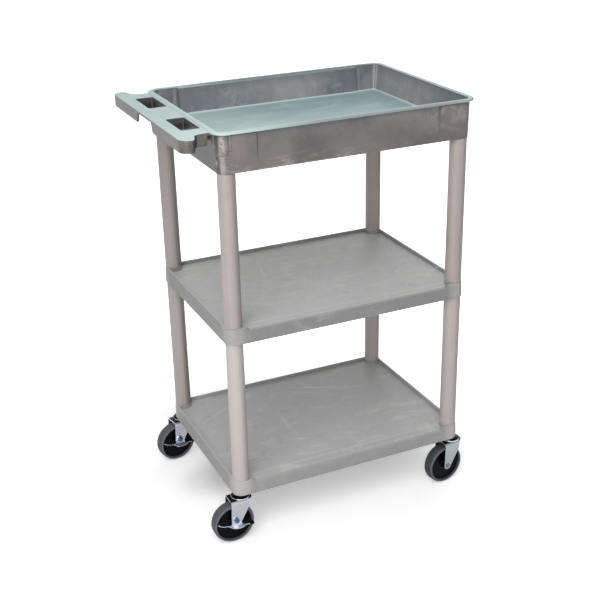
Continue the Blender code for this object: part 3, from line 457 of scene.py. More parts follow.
def inner_walls(f, at):
    """Bluish inner walls: darker below the rim, streaked near the handle, painted shade and highlights
    at creases and corners.
    """
    warm = f.band(at.cloud, 0.33, 0.6) * (0.15 + 0.85 * f.band(at.along, -0.2, 0.05))
    below_rim = f.band(at.height, RIM_TOP - 0.03, RIM_TOP - 0.004)
    # Painted shade: a dark line in the step beside each inner panel, fainter at the handle end.
    crease_shade = f.line(at.reach, PANEL_INNER_HALF_LENGTH + PANEL_STEP / 2, 0.0018)
    # Light and dark streaks between the inner panels and the corners at the handle end.
    corner_streaks = at.handle_end * f.band(at.reach, PANEL_INNER_HALF_LENGTH, PANEL_INNER_HALF_LENGTH + 0.004)
    # Painted highlights: a pale line just past each inner panel's step, and two pale lines on each
    # inner corner round.
    crease_highlight = f.line(at.reach, PANEL_INNER_HALF_LENGTH + 0.01, 0.005)
    bend = f.line((at.corner_x - at.corner_y).math("ABSOLUTE"), 0.0046, 0.0026)
    bend = bend * f.band(at.on_round, 0.0, 0.000004)
    far_side = f.band(at.along, LEG_X - 0.02, LEG_X + 0.01) * f.band(at.across, 0.02, -0.16)
    return f.layers(
        (108, 111, 117),
        (warm, (150, 149, 152)),
        (at.streak * 0.45 + 0.08 * f.band(at.brushed, 0.5, 0.7), (186, 186, 190)),
        (f.band(at.mottle, 0.5, 0.66) * 0.3, (178, 176, 178)),
        (below_rim * 0.5, (94, 102, 103)),
        (crease_shade * (0.8 - 0.5 * at.handle_end), (58, 58, 62)),
        (corner_streaks * f.band(at.brushed, 0.54, 0.4) * 0.6, (84, 82, 83)),
        (corner_streaks * f.band(at.brushed, 0.54, 0.68) * 0.5, (164, 164, 164)),
        (crease_highlight * 0.14 + bend * 0.5, (190, 196, 200)),
        (far_side * 0.55, (98, 116, 112)),
    )


def tub_tops(f, at):
    """Painted light: pale green for the faces that look up, the handle's plate, the rim and the
    basin's floor.
    """
    plate = f.layers(
        (174, 197, 194),
        (f.band(at.swirl, 0.35, 0.7), (184, 206, 203)),
        # Painted light: the plate is paler towards the front.
        (f.band(at.across, -0.1, -0.19) * 0.8, (194, 217, 213)),
    )
    past_handle = f.band(at.along, -0.29, -0.05)
    rim = f.layers(
        plate,
        # Painted light: the rim is greyer past the handle, darker along the back and paler at the
        # right end.
        (past_handle, (146, 160, 160)),
        (f.band(at.across, 0.0, TUB_HALF_Y) * past_handle, (112, 126, 124)),
        (f.band(at.along, 0.22, 0.3), (164, 182, 181)),
    )
    flare = f.noise(6.0, 4.0, 0.6, stretch=(0.7, 1.7, 1.0), warp=1.6)
    floor = f.layers(
        (192, 212, 210),
        # Painted shade: the basin's floor darkens away from the handle end.
        (f.band(at.along + 0.12 * at.cloud, -0.2, 0.06), (154, 181, 183)),
        (f.band(flare, 0.5, 0.7) * 0.4, (206, 225, 223)),
        (f.band(flare, 0.44, 0.3) * 0.25, (130, 160, 163)),
        (f.band(at.fine, 0.6, 0.8) * 0.3, (120, 148, 150)),
    )
    plate = f.blend(f.band(at.along, -RIM_HALF_X, -RIM_HALF_X + 0.02), plate, rim)
    return f.blend(at.in_basin, plate, floor)


def hand_hole_shade(f, at):
    """How far a point belongs to a hand hole's walls, and their painted shade, darker with depth."""
    share = f.line(at.along, HOLE_X + HAND_HOLE_WIDTH / 2, HAND_HOLE_WIDTH / 2 + 0.004, 0.9)
    share = share * f.band(at.height, HANDLE_TOP - 0.0012, HANDLE_TOP - 0.004)
    off_middle = at.across.math("ABSOLUTE")
    share = share * f.band(off_middle, NECK_HALF_WIDTH - 0.005, NECK_HALF_WIDTH - 0.015)
    depth = f.band(at.height, HANDLE_TOP - 0.003, HANDLE_TOP - 0.02)
    return share, f.layers((70, 70, 68), (depth, (8, 9, 8)))


def tub_finish():
    """Satin moulded plastic: flow marks, scuffs, painted light on paler greener upward faces, painted
    shade in creases.
    """
    f = Finish("tub_plastic", Specular_IOR_Level=0.5)
    at = TubPlaces(f)
    side = f.blend(at.in_basin, outer_walls(f, at), inner_walls(f, at))
    top = tub_tops(f, at)
    outside = 1.0 - at.inside
    # Painted light: the rim's outer lip takes the pale top colour.
    lip = f.band(at.height, RIM_UNDER - 0.0006, RIM_UNDER + 0.0004)
    lip = lip * f.band(at.along, -RIM_HALF_X - 0.001, -RIM_HALF_X) * outside
    groove_foot = at.on_tub * outside * f.band(at.height, RIM_UNDER - 0.001, RIM_UNDER - 0.002)
    # Painted light: faces that look up take the pale green top colour, except at the grooves' foot.
    level = f.band(f.up(), 0.4, 0.85) * (1.0 - groove_foot)
    # Painted highlight: a pale line along the foot of the basin's walls.
    floor_edge_highlight = f.line(at.height, BASIN_FLOOR + 0.0022, 0.0018) * at.inside
    color = f.blend(level, f.blend(lip * 0.9, side, top), top)
    color = f.layers(color, (floor_edge_highlight * 0.7, (214, 226, 226)))
    # Painted shade: the hand holes' walls darken with depth.
    share, walls = hand_hole_shade(f, at)
    color = f.blend(share * 0.92, color, walls)
    grain = f.noise(900.0, 2.0, 0.5)
    return f.use(Base_Color=color, Roughness=0.34 + 0.1 * at.swirl + 0.05 * at.fine,
                 Normal=f.bump(grain * 0.6 + at.fine * 0.4, 0.00008))


def fan_of_scuffs(f):
    """Pale scuffs that spread from one spot on a shelf, as a box dragged about leaves them."""
    point = f.point()
    x = f.part(point, "X") - SCUFF_X
    y = f.part(point, "Y") - SCUFF_Y
    reach = (x * x + y * y).math("SQRT")
    turn_about = f.node("ShaderNodeCombineXYZ", X=y.math("ARCTAN2", x) * 9.0, Y=reach * 2.0,
                        Z=f.part(point, "Z") * 20.0)
    rays = f.node("ShaderNodeTexNoise", i0=turn_about, Scale=1.0, Detail=4.0, Roughness=0.7)
    return f.band(rays, 0.56, 0.72) * f.line(reach, 0.14, 0.2, 0.3)


def shelf_finish():
    """Matt structural foam plastic with faint swirls; paler tops, edge lines and near corners are
    painted light.
    """
    f = Finish("shelf_plastic", Specular_IOR_Level=0.4)
    across = f.part(f.point(), "Y")
    off_middle = (f.part(f.point(), "X") - CART_MIDDLE.x).math("ABSOLUTE")
    bottom = f.band(f.part(f.point(), "Z"), 0.4, 0.2)
    swirl = f.noise(7.0, 5.0, 0.6, stretch=(1.0, 1.8, 2.0), warp=1.8)
    fine = f.noise(60.0, 4.0, 0.6, warp=0.5)
    streak = f.band(swirl, 0.5, 0.72) * 0.6 + f.band(fine, 0.55, 0.75) * 0.25
    stains = f.band(f.noise(26.0, 5.0, 0.7, warp=1.0), 0.52, 0.7)
    # Painted highlights along the front slope's foot and crest, and painted shade on the nose in front
    # of the crest.
    front_foot_highlight = f.line(across, SHELF_FRONT_FOOT, 0.0045, 0.2)
    nose_shade = f.band(across, SHELF_FRONT_CREST + 0.0006, SHELF_FRONT_CREST - 0.0006)
    crest = f.line(across, SHELF_FRONT_CREST + 0.001, 0.0016, 0.3)
    # Painted light: paler near the leg corners, more so on the bottom shelf.
    corner = f.band(off_middle, LEG_X - 0.03, LEG_X)
    corner = corner * f.band(across.math("ABSOLUTE"), LEG_Y - 0.03, LEG_Y)
    # Painted light: tops paler than sides; the bottom shelf has paler sides and a darker top.
    side = f.layers((131, 132, 131), (bottom, (147, 148, 147)), (streak, (164, 165, 163)))
    top = f.layers(
        (192, 193, 192),
        (bottom, (182, 183, 182)),
        (streak, (212, 212, 210)),
        (stains * 0.25, (140, 142, 142)),
        (fan_of_scuffs(f) * 0.5, (222, 222, 220)),
        (front_foot_highlight * 0.3, (220, 221, 219)),
        (nose_shade * 0.85, (168, 169, 168)),
        (crest * 0.5, (228, 229, 227)),
    )
    color = f.blend(f.band(f.up(), 0.8, 0.97), side, top)
    color = f.layers(color, (corner * (0.3 + 0.25 * bottom), (200, 195, 191)))
    grain = f.noise(1100.0, 2.0, 0.5)
    return f.use(Base_Color=color, Roughness=0.52 + 0.12 * fine,
                 Normal=f.bump(grain * 0.7 + fine * 0.3, 0.0001))


def leg_finish():
    """Smooth warm grey tube with faint draw lines along its length, and painted light and shade."""
    f = Finish("leg_plastic", Specular_IOR_Level=0.45)
    lines = f.noise(160.0, 3.0, 0.5, stretch=(1.0, 1.0, 0.02))
    cloud = f.noise(12.0, 3.0, 0.5)
    # Painted shade: the legs are darker above about half a metre.
    upper = f.band(f.part(f.point(), "Z"), 0.48, 0.56)
    left = f.band(f.part(f.point(), "X"), 0.0, -0.1)
    rear = f.band(f.part(f.point(), "Y"), 0.0, 0.1)
    # Painted shade on the side facing right, stronger on the rear legs.
    edge = f.band(f.facing(RIGHT_SIDE), 0.3, 1.0) * (0.45 + 0.3 * rear)
    color = f.layers(
        (168, 160, 157),
        (upper, (149, 141, 138)),
        ((lines + cloud) * 0.25, (200, 191, 188)),
        (edge, (92, 87, 85)),
        # Painted shade on the rear left leg, and painted light on the lower front left leg.
        (rear * left * 0.3, (126, 118, 116)),
        ((1.0 - rear) * left * (1.0 - upper) * 0.3, (206, 198, 195)),
    )
    return f.use(Base_Color=color, Roughness=0.42 + 0.1 * cloud, Normal=f.bump(lines, 0.00005))


def zinc_finish(name, tint, top, shade_above=None, level=(0.8, 0.97)):
    """Zinc plate: faint mottling over drawn steel, another tint on level faces as a painted
    reflection, and black above a height as painted shade, if one is given."""
    f = Finish(name, Metallic=1.0)
    mottle = f.noise(180.0, 3.0, 0.6)
    drawn = f.noise(420.0, 2.0, 0.5, stretch=(1.0, 0.1, 1.0))
    pale = [min(255, part + 24) for part in tint]
    color = f.layers(tint, (mottle, pale), (f.band(f.up(), *level), top))
    if shade_above:
        black = f.band(f.part(f.point(), "Z"), shade_above - 0.0004, shade_above + 0.0004)
        color = f.layers(color, (black, (10, 10, 11)))
    return f.use(Base_Color=color, Roughness=0.16 + 0.14 * mottle + 0.06 * drawn,
                 Normal=f.bump(drawn * 0.5 + mottle * 0.5, 0.00003))


def tyre_finish(corner, tread):
    """Soft grey rubber with a dusty bloom, paler on its flat sides."""
    f = Finish(f"tyre_rubber_{corner}", Specular_IOR_Level=0.2)
    row = JOINTS[f"wheel_spin_{corner}"]
    axle = Vector(row["axis"]).normalized()
    off_plane = f.node("ShaderNodeVectorMath", {"operation": "DOT_PRODUCT"}, output=1,
                       i0=f.point(), i1=tuple(axle)) - axle.dot(Vector(row["pos_m"]))
    side = f.band(off_plane.math("ABSOLUTE"), WHEEL_HALF - 0.0045, WHEEL_HALF - 0.002)
    dust = f.noise(70.0, 4.0, 0.6)
    grain = f.noise(1500.0, 2.0, 0.5)
    color = f.layers(tread, (side, (97, 99, 106)), (f.band(dust, 0.4, 0.7) * 0.3, (112, 113, 118)))
    return f.use(Base_Color=color, Roughness=0.58 + 0.15 * dust, Normal=f.bump(grain, 0.00006))


def black_finish(name, tint, rough):
    """Black moulding with a fine spark grain."""
    f = Finish(name, Specular_IOR_Level=0.06)
    haze = f.noise(90.0, 3.0, 0.6)
    grain = f.noise(1400.0, 2.0, 0.5)
    color = f.layers(tint, (haze, [part + 4 for part in tint]))
    return f.use(Base_Color=color, Roughness=rough + 0.12 * haze, Normal=f.bump(grain, 0.00003))


# The tint of each corner's fork and of its tyre's tread, each corner lighter or darker as painted
# light.
CASTER_LIGHT_TINTS = {
    "front_left": ((164, 168, 174), (82, 83, 88)),
    "front_right": ((132, 138, 139), (58, 60, 64)),
    "rear_left": ((220, 218, 230), (86, 87, 90)),
    "rear_right": ((164, 168, 174), (70, 71, 75)),
}

TUB = tub_finish()
SHELF = shelf_finish()
LEG = leg_finish()
# Painted reflections on level zinc faces: dark on caster parts and fork crowns, pale on the lever's
# bar.
ZINC = zinc_finish("zinc_plate", (164, 168, 174), (62, 64, 68))
RACE = zinc_finish("zinc_race", (172, 176, 182), (150, 153, 160), RACE_SHADE_ABOVE)
# The lever's bluish tint is a painted reflection.
LEVER = zinc_finish("zinc_lever", (158, 176, 202), (228, 226, 240), level=(0.3, 0.55))
BOLT = zinc_finish("zinc_bolt", (84, 93, 108), (118, 128, 142))
FORKS = {corner: zinc_finish(f"zinc_fork_{corner}", tint, (30, 31, 33))
         for corner, (tint, tread) in CASTER_LIGHT_TINTS.items()}
TYRES = {corner: tyre_finish(corner, tread) for corner, (tint, tread) in CASTER_LIGHT_TINTS.items()}
HUB = black_finish("hub_black", (6, 7, 10), 0.2)
SEAL = black_finish("seal_black", (14, 14, 15), 0.4)
TIP = black_finish("tip_rubber", (16, 16, 18), 0.45)

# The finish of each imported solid, by the start of its name
NODE_FINISH = {
    "tub_shelf": TUB, "middle_shelf": SHELF, "bottom_shelf": SHELF, "leg_": LEG,
    "caster_bearing": SEAL, "caster_": ZINC, "axle_": BOLT, "brake_bolt": BOLT, "brake_nut": BOLT,
    "brake_lever": LEVER, "brake_tip": TIP, "tyre": TYRES["front_left"], "wheel_hub": HUB,
}


def arc(center, radius, start, end, steps):
    """Points on an arc, both ends included, angles in degrees."""
    angles = [math.radians(start + (end - start) * step / steps) for step in range(steps + 1)]
    return [(center[0] + radius * math.cos(a), center[1] + radius * math.sin(a)) for a in angles]


def quarter_round(radius, steps):
    """Insets and drops of the points along a rounded edge, from its side to its top."""
    angles = [math.pi / 2 * step / steps for step in range(steps + 1)]
    return [(radius * (1 - math.cos(a)), radius * (1 - math.sin(a))) for a in angles]


def outline(half_x, half_y, radius, cuts=(), steps=CORNER_STEPS):
    """A rounded rectangle, anticlockwise, with extra points on both long edges."""
    across = [-cut for cut in reversed(cuts)] + list(cuts)
    corner_x, corner_y = half_x - radius, half_y - radius
    points = [(x, -half_y) for x in across]
    points += arc((corner_x, -corner_y), radius, -90, 0, steps)
    points += arc((corner_x, corner_y), radius, 0, 90, steps)
    points += [(x, half_y) for x in reversed(across)]
    points += arc((-corner_x, corner_y), radius, 90, 180, steps)
    points += arc((-corner_x, -corner_y), radius, 180, 270, steps)
    return points


def loft(bm, rings, round_about=False):
    """Skins a row of equal closed rings, and caps both ends unless the row goes round about."""
    skins = [[bm.verts.new(point) for point in ring] for ring in rings]
    count = len(skins[0])
    first = skins[:1] if round_about else []
    for near, far in zip(skins, skins[1:] + first):
        for k in range(count):
            following = (k + 1) % count
            bm.faces.new((near[k], near[following], far[following], far[k]))
    if not round_about:
        bm.faces.new(skins[0])
        bm.faces.new(skins[-1])


def boxes(*spans):
    """A new solid of boxes, each between two opposite corners."""
    bm = bmesh.new()
    for low, high in spans:
        low, high = Vector(low), Vector(high)
        made = bmesh.ops.create_cube(bm, size=1.0)
        bmesh.ops.scale(bm, vec=high - low, verts=made["verts"])
        bmesh.ops.translate(bm, vec=(low + high) / 2, verts=made["verts"])
    return bm


def add_cylinder(bm, radius, low, high, center, segments=32, along_y=False):
    """A cylinder between two heights, or along Y between two places."""
    move = Matrix.Translation((center[0], center[1], (low + high) / 2))
    if along_y:
        move = Matrix.Translation((center[0], (low + high) / 2, center[1]))
        move = move @ Matrix.Rotation(math.pi / 2, 4, "X")
    bmesh.ops.create_cone(bm, cap_ends=True, segments=segments, radius1=radius, radius2=radius,
                          depth=high - low, matrix=move)


def prism(points, axis, near, far):
    """A new solid: an outline in the other two axes, drawn out along one axis."""
    bm = bmesh.new()
    k = "XYZ".index(axis)
    loft(bm, [[point[:k] + (end,) + point[k:] for point in points] for end in (near, far)])
    return bm


def add_piece(name, bm, finish, where=None):
    """Turns a bmesh into a piece of the cart, in the frame's own coordinates."""
    bmesh.ops.recalc_face_normals(bm, faces=bm.faces)
    if where is not None:
        bm.transform(where)
    mesh = bpy.data.meshes.new(name)
    bm.to_mesh(mesh)
    bm.free()
    mesh.shade_smooth()
    mesh.materials.append(finish)
    item = bpy.data.objects.new(name, mesh)
    bpy.context.scene.collection.objects.link(item)
    return item


def carve(item, bm, operation="DIFFERENCE"):
    """Cuts a shape out of a piece, or joins it on, and leaves a plain mesh."""
    tool = add_piece("tool", bm, item.data.materials[0])
    modifier = item.modifiers.new("carve", "BOOLEAN")
    modifier.operation = operation
    modifier.solver = "EXACT"
    modifier.object = tool
    result = item.evaluated_get(bpy.context.evaluated_depsgraph_get())
    old, item.data = item.data, bpy.data.meshes.new_from_object(result)
    item.modifiers.clear()
    for spent in (old, tool.data):
        bpy.data.meshes.remove(spent)


def soften(item, width, segments=2, angle=38.0):
    """Rounds the sharp edges by a little and evens out the shading of flat faces."""
    weld = item.modifiers.new("weld", "WELD")
    weld.merge_threshold = WELD_GAP
    bevel = item.modifiers.new("soft_edges", "BEVEL")
    bevel.width = width
    bevel.segments = segments
    bevel.limit_method = "ANGLE"
    bevel.angle_limit = math.radians(angle)
    item.data.shade_smooth()
    item.modifiers.new("smooth", "WEIGHTED_NORMAL").keep_sharp = False


def smooth_step(value):
    """0 at 0 and 1 at 1, with level ends."""
    value = min(1.0, max(0.0, value))
    return value * value * (3 - 2 * value)


def tub_stations():
    """Outward offset, height, panel inset and panel half length, from under the floor
    round the wall to the inside of the floor."""
    floor_under = BASIN_FLOOR - TUB_FLOOR
    inner_top = TUB_DRAFT - TUB_WALL
    inner_floor = inner_top - BASIN_DRAFT
    slope = (BASIN_DEPTH - BASIN_FILLET) / BASIN_DEPTH
    fade = TUB_BASE + PANEL_FADE_HEIGHT
    outer, inner = PANEL_HALF_LENGTH, PANEL_INNER_HALF_LENGTH
    stations = [
        (inner_floor - BASIN_FILLET, floor_under, 0.0, outer),
        (-TUB_WALL, floor_under - BASIN_FILLET, 0.0, outer),
        (-TUB_WALL, TUB_BASE, 0.0, outer),
        (0.0, TUB_BASE, 0.0, outer),
    ]
    for share in (0.0, 0.25, 0.5, 0.75, 1.0):
        height = fade + (RIM_UNDER - fade) * share
        offset = TUB_DRAFT * (height - TUB_BASE) / (RIM_UNDER - TUB_BASE)
        stations.append((offset, height, PANEL_INSET * share, outer))
    stations.append((RIM_OVERHANG, RIM_UNDER, 0.0, outer))
    for inset, drop in quarter_round(RIM_ROUND, 6):
        stations.append((RIM_OVERHANG - inset, RIM_TOP - drop, 0.0, outer))
    for inset, drop in reversed(quarter_round(RIM_INNER_ROUND, 8)):
        panel = PANEL_INSET * drop / RIM_INNER_ROUND
        stations.append((inner_top + inset, RIM_TOP - drop, panel, inner))
    stations.append((inner_top - BASIN_DRAFT * slope, BASIN_FLOOR + BASIN_FILLET, PANEL_INSET, inner))
    for inset, rise in quarter_round(BASIN_FILLET, 6)[1:]:
        stations.append((inner_floor - inset, BASIN_FLOOR + rise, PANEL_INSET, inner))
    return stations


def tub_rings():
    """The tub's section at each station, with the long walls set in between the corners."""
    rings = []
    for offset, height, panel, length in tub_stations():
        cuts = [length + PANEL_STEP * step / 4 for step in range(5)]
        ring = []
        for x, y in outline(TUB_HALF_X + offset, TUB_HALF_Y + offset, TUB_CORNER + offset, cuts):
            share = 1.0 - smooth_step((abs(x) - length) / PANEL_STEP)
            ring.append((x, y - math.copysign(panel * share, y), height))
        rings.append(ring)
    return rings


def curve(points, steps):
    """Points on a smooth cubic curve from its four control points."""
    made = []
    for step in range(steps + 1):
        t = step / steps
        weights = ((1 - t) ** 3, 3 * t * (1 - t) ** 2, 3 * t * t * (1 - t), t ** 3)
        made.append(tuple(sum(w * p[i] for w, p in zip(weights, points)) for i in (0, 1)))
    return made


def handle_outline():
    """Plan of the handle plate: round lobes that flow in an S into the neck."""
    lobe_x = HANDLE_X + LOBE_LENGTH
    neck, tip = NECK_HALF_WIDTH, HANDLE_HALF_WIDTH
    flow = ((lobe_x + 0.008, neck), (lobe_x - 0.01, neck), (lobe_x - 0.006, tip),
            (lobe_x - LOBE_RADIUS + 0.0006, tip))
    half = [(-(TUB_HALF_X - TUB_WALL / 3), neck)] + curve(flow, LOBE_STEPS)
    half += arc((HANDLE_X + LOBE_RADIUS, tip - LOBE_RADIUS), LOBE_RADIUS, 90, 180, 14)
    return half + [(x, -y) for x, y in reversed(half)]


def handle_block():
    """The solid handle, with its upper edge rounded where it stands clear of the rim."""
    bm = prism(handle_outline(), "Z", HANDLE_LOW, HANDLE_TOP)
    clear = -(TUB_HALF_X + RIM_OVERHANG / 2)
    top = [e for e in bm.edges if all(abs(v.co.z - HANDLE_TOP) < SKIN for v in e.verts)
           and min(v.co.x for v in e.verts) < clear]
    bmesh.ops.bevel(bm, geom=top, offset=HANDLE_EDGE, segments=4, affect="EDGES", profile=0.5)
    return bm


def hole_points(side, grow):
    """Plan of the hand hole on one side, wider all round by a little."""
    half_x, half_y = HAND_HOLE_WIDTH / 2, HAND_HOLE_LENGTH / 2
    points = outline(half_x + grow, half_y + grow, HAND_HOLE_RADIUS + grow, steps=6)
    middle = side * (HAND_HOLE_GAP / 2 + half_y)
    return [(x + HOLE_X + half_x, y + middle) for x, y in points]


def hollow_handle(tub, low, high):
    """Opens the handle from below, beside its hand holes and in the gap at its neck."""
    end_wall = -(TUB_HALF_X + TUB_DRAFT)
    wall_x = end_wall - HOLE_WALL
    end_y = HANDLE_HALF_WIDTH - LOBE_RADIUS
    inner = HAND_HOLE_GAP / 2 - HANDLE_WALL
    outer = HAND_HOLE_GAP / 2 + HAND_HOLE_LENGTH + HANDLE_WALL
    edge = NECK_HALF_WIDTH - HANDLE_WALL
    front = ((HANDLE_X + HANDLE_WALL, -end_y, low), (HOLE_X - HOLE_WALL, end_y, high))
    sides = [((HOLE_X - HANDLE_WALL, -inner, low), (wall_x, inner, high - SKIN))]
    gaps = []
    for sign in (-1, 1):
        y0, y1 = sorted((sign * outer, sign * edge))
        sides.append(((HOLE_X - HANDLE_WALL, y0, low), (wall_x, y1, high - SKIN)))
        y0, y1 = sorted((sign * (inner + HANDLE_WALL * 2), sign * (outer - HANDLE_WALL * 2)))
        sides.append(((HOLE_X + HAND_HOLE_WIDTH + HOLE_WALL, y0, low), (wall_x, y1, high - SKIN)))
        y0, y1 = sorted((sign * (edge - OVERCUT), sign * (NECK_HALF_WIDTH + OVERCUT)))
        gaps.append(((end_wall - NECK_GAP, y0, low), (end_wall - SKIN, y1, high - SKIN * 2)))
    carve(tub, boxes(front))
    carve(tub, boxes(*sides))
    carve(tub, boxes(*gaps))


def join_handle(tub):
    """Handle plate with its lobes, hollow underneath, with two hand holes and a notch."""
    carve(tub, handle_block(), "UNION")
    low, high = HANDLE_LOW - OVERCUT, HANDLE_TOP - HANDLE_PLATE
    hollow_handle(tub, low, high)
    rings = ((low, 0.0), (HANDLE_TOP - HOLE_EDGE, 0.0), (HANDLE_TOP - HOLE_EDGE / 3, HOLE_EDGE / 4),
             (HANDLE_TOP, HOLE_EDGE), (HANDLE_TOP + OVERCUT, HOLE_EDGE + OVERCUT))
    holes = bmesh.new()
    for side in (-1, 1):
        loft(holes, [[(x, y, z) for x, y in hole_points(side, grow)] for z, grow in rings])
    carve(tub, holes)
    half, flared = NOTCH_HALF_LENGTH, NOTCH_HALF_LENGTH + NOTCH_FLARE
    notch = ((-half, high), (half, high), (flared, low), (-flared, low))
    carve(tub, prism(notch, "X", HANDLE_X - OVERCUT, HANDLE_X + HANDLE_WALL + OVERCUT))


def groove_columns(tub):
    """Round-bottomed grooves beside the leg columns at the handle end."""
    low, high = TUB_BASE + GROOVE_BOTTOM, RIM_UNDER + SKIN
    wall_x, wall_y = TUB_HALF_X + TUB_DRAFT, TUB_HALF_Y + TUB_DRAFT
    reach = GROOVE_RADIUS - GROOVE_DEPTH
    bm = bmesh.new()
    for sign in (-1, 1):
        for center in ((-LEG_X + GROOVE_OFFSET, sign * (wall_y + reach)),
                       (-(wall_x + reach), sign * (LEG_Y - GROOVE_OFFSET))):
            add_cylinder(bm, GROOVE_RADIUS, low, high, center, 24)
    carve(tub, bm)


def add_underside(tub):
    """Ribs and leg sockets below the tub's floor."""
    under = BASIN_FLOOR - TUB_FLOOR / 2
    end_x, end_y = LEG_X - SOCKET_COLLAR, TUB_HALF_Y - TUB_WALL / 2
    long_rib = ((-end_x, -RIB_HALF, under - LONG_RIB_DEPTH), (end_x, RIB_HALF, under))
    cross_ribs = [((x - RIB_HALF, -end_y, under - CROSS_RIB_DEPTH),
                   (x + RIB_HALF, end_y, under - SKIN)) for x in (-end_x, end_x)]
    carve(tub, boxes(long_rib), "UNION")
    carve(tub, boxes(*cross_ribs), "UNION")
    collars = bmesh.new()
    sockets = bmesh.new()
    for sx, sy in CORNERS.values():
        center = (sx * LEG_X, sy * LEG_Y)
        add_cylinder(collars, SOCKET_COLLAR, TUB_LOW.z, under, center)
        add_cylinder(sockets, SOCKET_RADIUS, TUB_LOW.z - OVERCUT, TUB_LOW.z + SOCKET_DEPTH, center)
    carve(tub, collars, "UNION")
    carve(tub, sockets)


def add_tub():
    """The top shelf: a deep drafted tub with an outward rim and the push handle."""
    bm = bmesh.new()
    loft(bm, tub_rings())
    tub = add_piece("tub_moulding", bm, TUB)
    add_underside(tub)
    join_handle(tub)
    groove_columns(tub)
    tub.data.transform(Matrix.Translation(CART_MIDDLE))
    soften(tub, TUB_EDGE)
    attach(tub, "cart_frame")
    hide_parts("tub_shelf")


def turn(name, profile, finish, body, replaces, where, segments=64, along_y=False):
    """Turns a closed profile of (radius, height) points into a round piece. Along Y the
    profile's height points to +Y."""
    bm = bmesh.new()
    rings = []
    for step in range(segments):
        angle = math.tau * step / segments
        c, s = math.cos(angle), math.sin(angle)
        rings.append([(r * c, h, r * s) if along_y else (r * c, r * s, h) for r, h in profile])
    loft(bm, rings, round_about=True)
    bmesh.ops.remove_doubles(bm, verts=bm.verts, dist=WELD_GAP / 10)
    item = add_piece(name, bm, finish, where)
    item.data.set_sharp_from_angle(angle=math.radians(50.0))
    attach(item, body)
    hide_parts(replaces)


def rounded(corners, radius, steps=4):
    """A closed profile whose corners are rounded; each corner is (r, h) or (r, h, radius)."""
    points = []
    count = len(corners)
    for k, corner in enumerate(corners):
        here = Vector(corner[:2])
        size = corner[2] if len(corner) > 2 else radius
        if size == 0:
            points.append(tuple(here))
            continue
        before = Vector(corners[k - 1][:2]) - here
        after = Vector(corners[(k + 1) % count][:2]) - here
        cut = min(size, before.length * 0.45, after.length * 0.45)
        start, end = here + before.normalized() * cut, here + after.normalized() * cut
        for step in range(steps + 1):
            t = step / steps
            points.append(tuple(start * (1 - t) ** 2 + here * 2 * t * (1 - t) + end * t * t))
    return points


def add_legs():
    """Tube legs: a plain tube with a softly rounded shoulder at both ends."""
    for name in frame["nodes"]:
        if not name.startswith("leg_"):
            continue
        low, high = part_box(name)
        base, top = low.z + LEG_SPIGOT_LENGTH, high.z - LEG_SPIGOT_LENGTH
        tube = ((LEG_BORE, high.z), (LEG_SPIGOT, high.z), (LEG_SPIGOT, top), (LEG_RADIUS, top),
                (LEG_RADIUS, base), (LEG_SPIGOT, base), (LEG_SPIGOT, low.z), (LEG_BORE, low.z))
        turn(f"{name}_tube", rounded(tube, LEG_SHOULDER), LEG, "cart_frame", name,
             foot_of(name))


def foot_of(node):
    """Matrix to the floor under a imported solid's middle."""
    middle = box_middle(node)
    return Matrix.Translation((middle.x, middle.y, 0.0))


def joint_frame(name):
    """Matrix with its origin on a joint that lies along Y, and that joint's X and Y."""
    row = JOINTS[name]
    along = Vector(row["axis"]).normalized()
    up = Vector((0.0, 0.0, 1.0))
    where = Matrix((along.cross(up), along, up)).transposed().to_4x4()
    where.translation = row["pos_m"]
    return where


def both_sides(points):
    """A closed profile of a wheel part from its upper half."""
    return points + [(r, -h, edge) for r, h, edge in reversed(points)]


def add_wheel(corner):
    """Soft tyre with a crowned tread and a shoulder bead, on a dished glossy hub."""
    where = joint_frame(f"wheel_spin_{corner}")
    body = f"wheel_{corner}"
    radius, half, web = WHEEL_RADIUS, WHEEL_HALF, HUB_FACE
    tread = [(SEAT_RADIUS + SKIN, web - 0.001, 0.0), (HUB_RADIUS + SKIN, web - 0.001, 0.0),
             (HUB_RADIUS + 0.0008, half - 0.0018, 0.0012), (radius - 0.0052, half, 0.0014),
             (radius - 0.0018, half - 0.003, 0.003), (radius, half - 0.0066, 0.003)]
    turn(f"{body}_tyre", rounded(both_sides(tread), 0.001, 5), TYRES[corner], body,
         f"tyre_{corner}", where, segments=96, along_y=True)
    hub = [(HUB_BORE, HUB_BOSS, 0.0003), (0.01, HUB_BOSS, 0.001), (0.0108, web + 0.0016, 0.001),
           (0.015, web, 0.001), (HUB_RADIUS - 0.003, web, 0.001),
           (HUB_RADIUS - 0.0014, web + 0.001, 0.0006), (HUB_RADIUS, web + 0.001, 0.0006),
           (HUB_RADIUS, web - 0.0008, 0.0), (SEAT_RADIUS, web - 0.0012, 0.0)]
    turn(f"{body}_hub", rounded(both_sides(hub), 0.001, 5), HUB, body,
         f"wheel_hub_{corner}", where, segments=96, along_y=True)


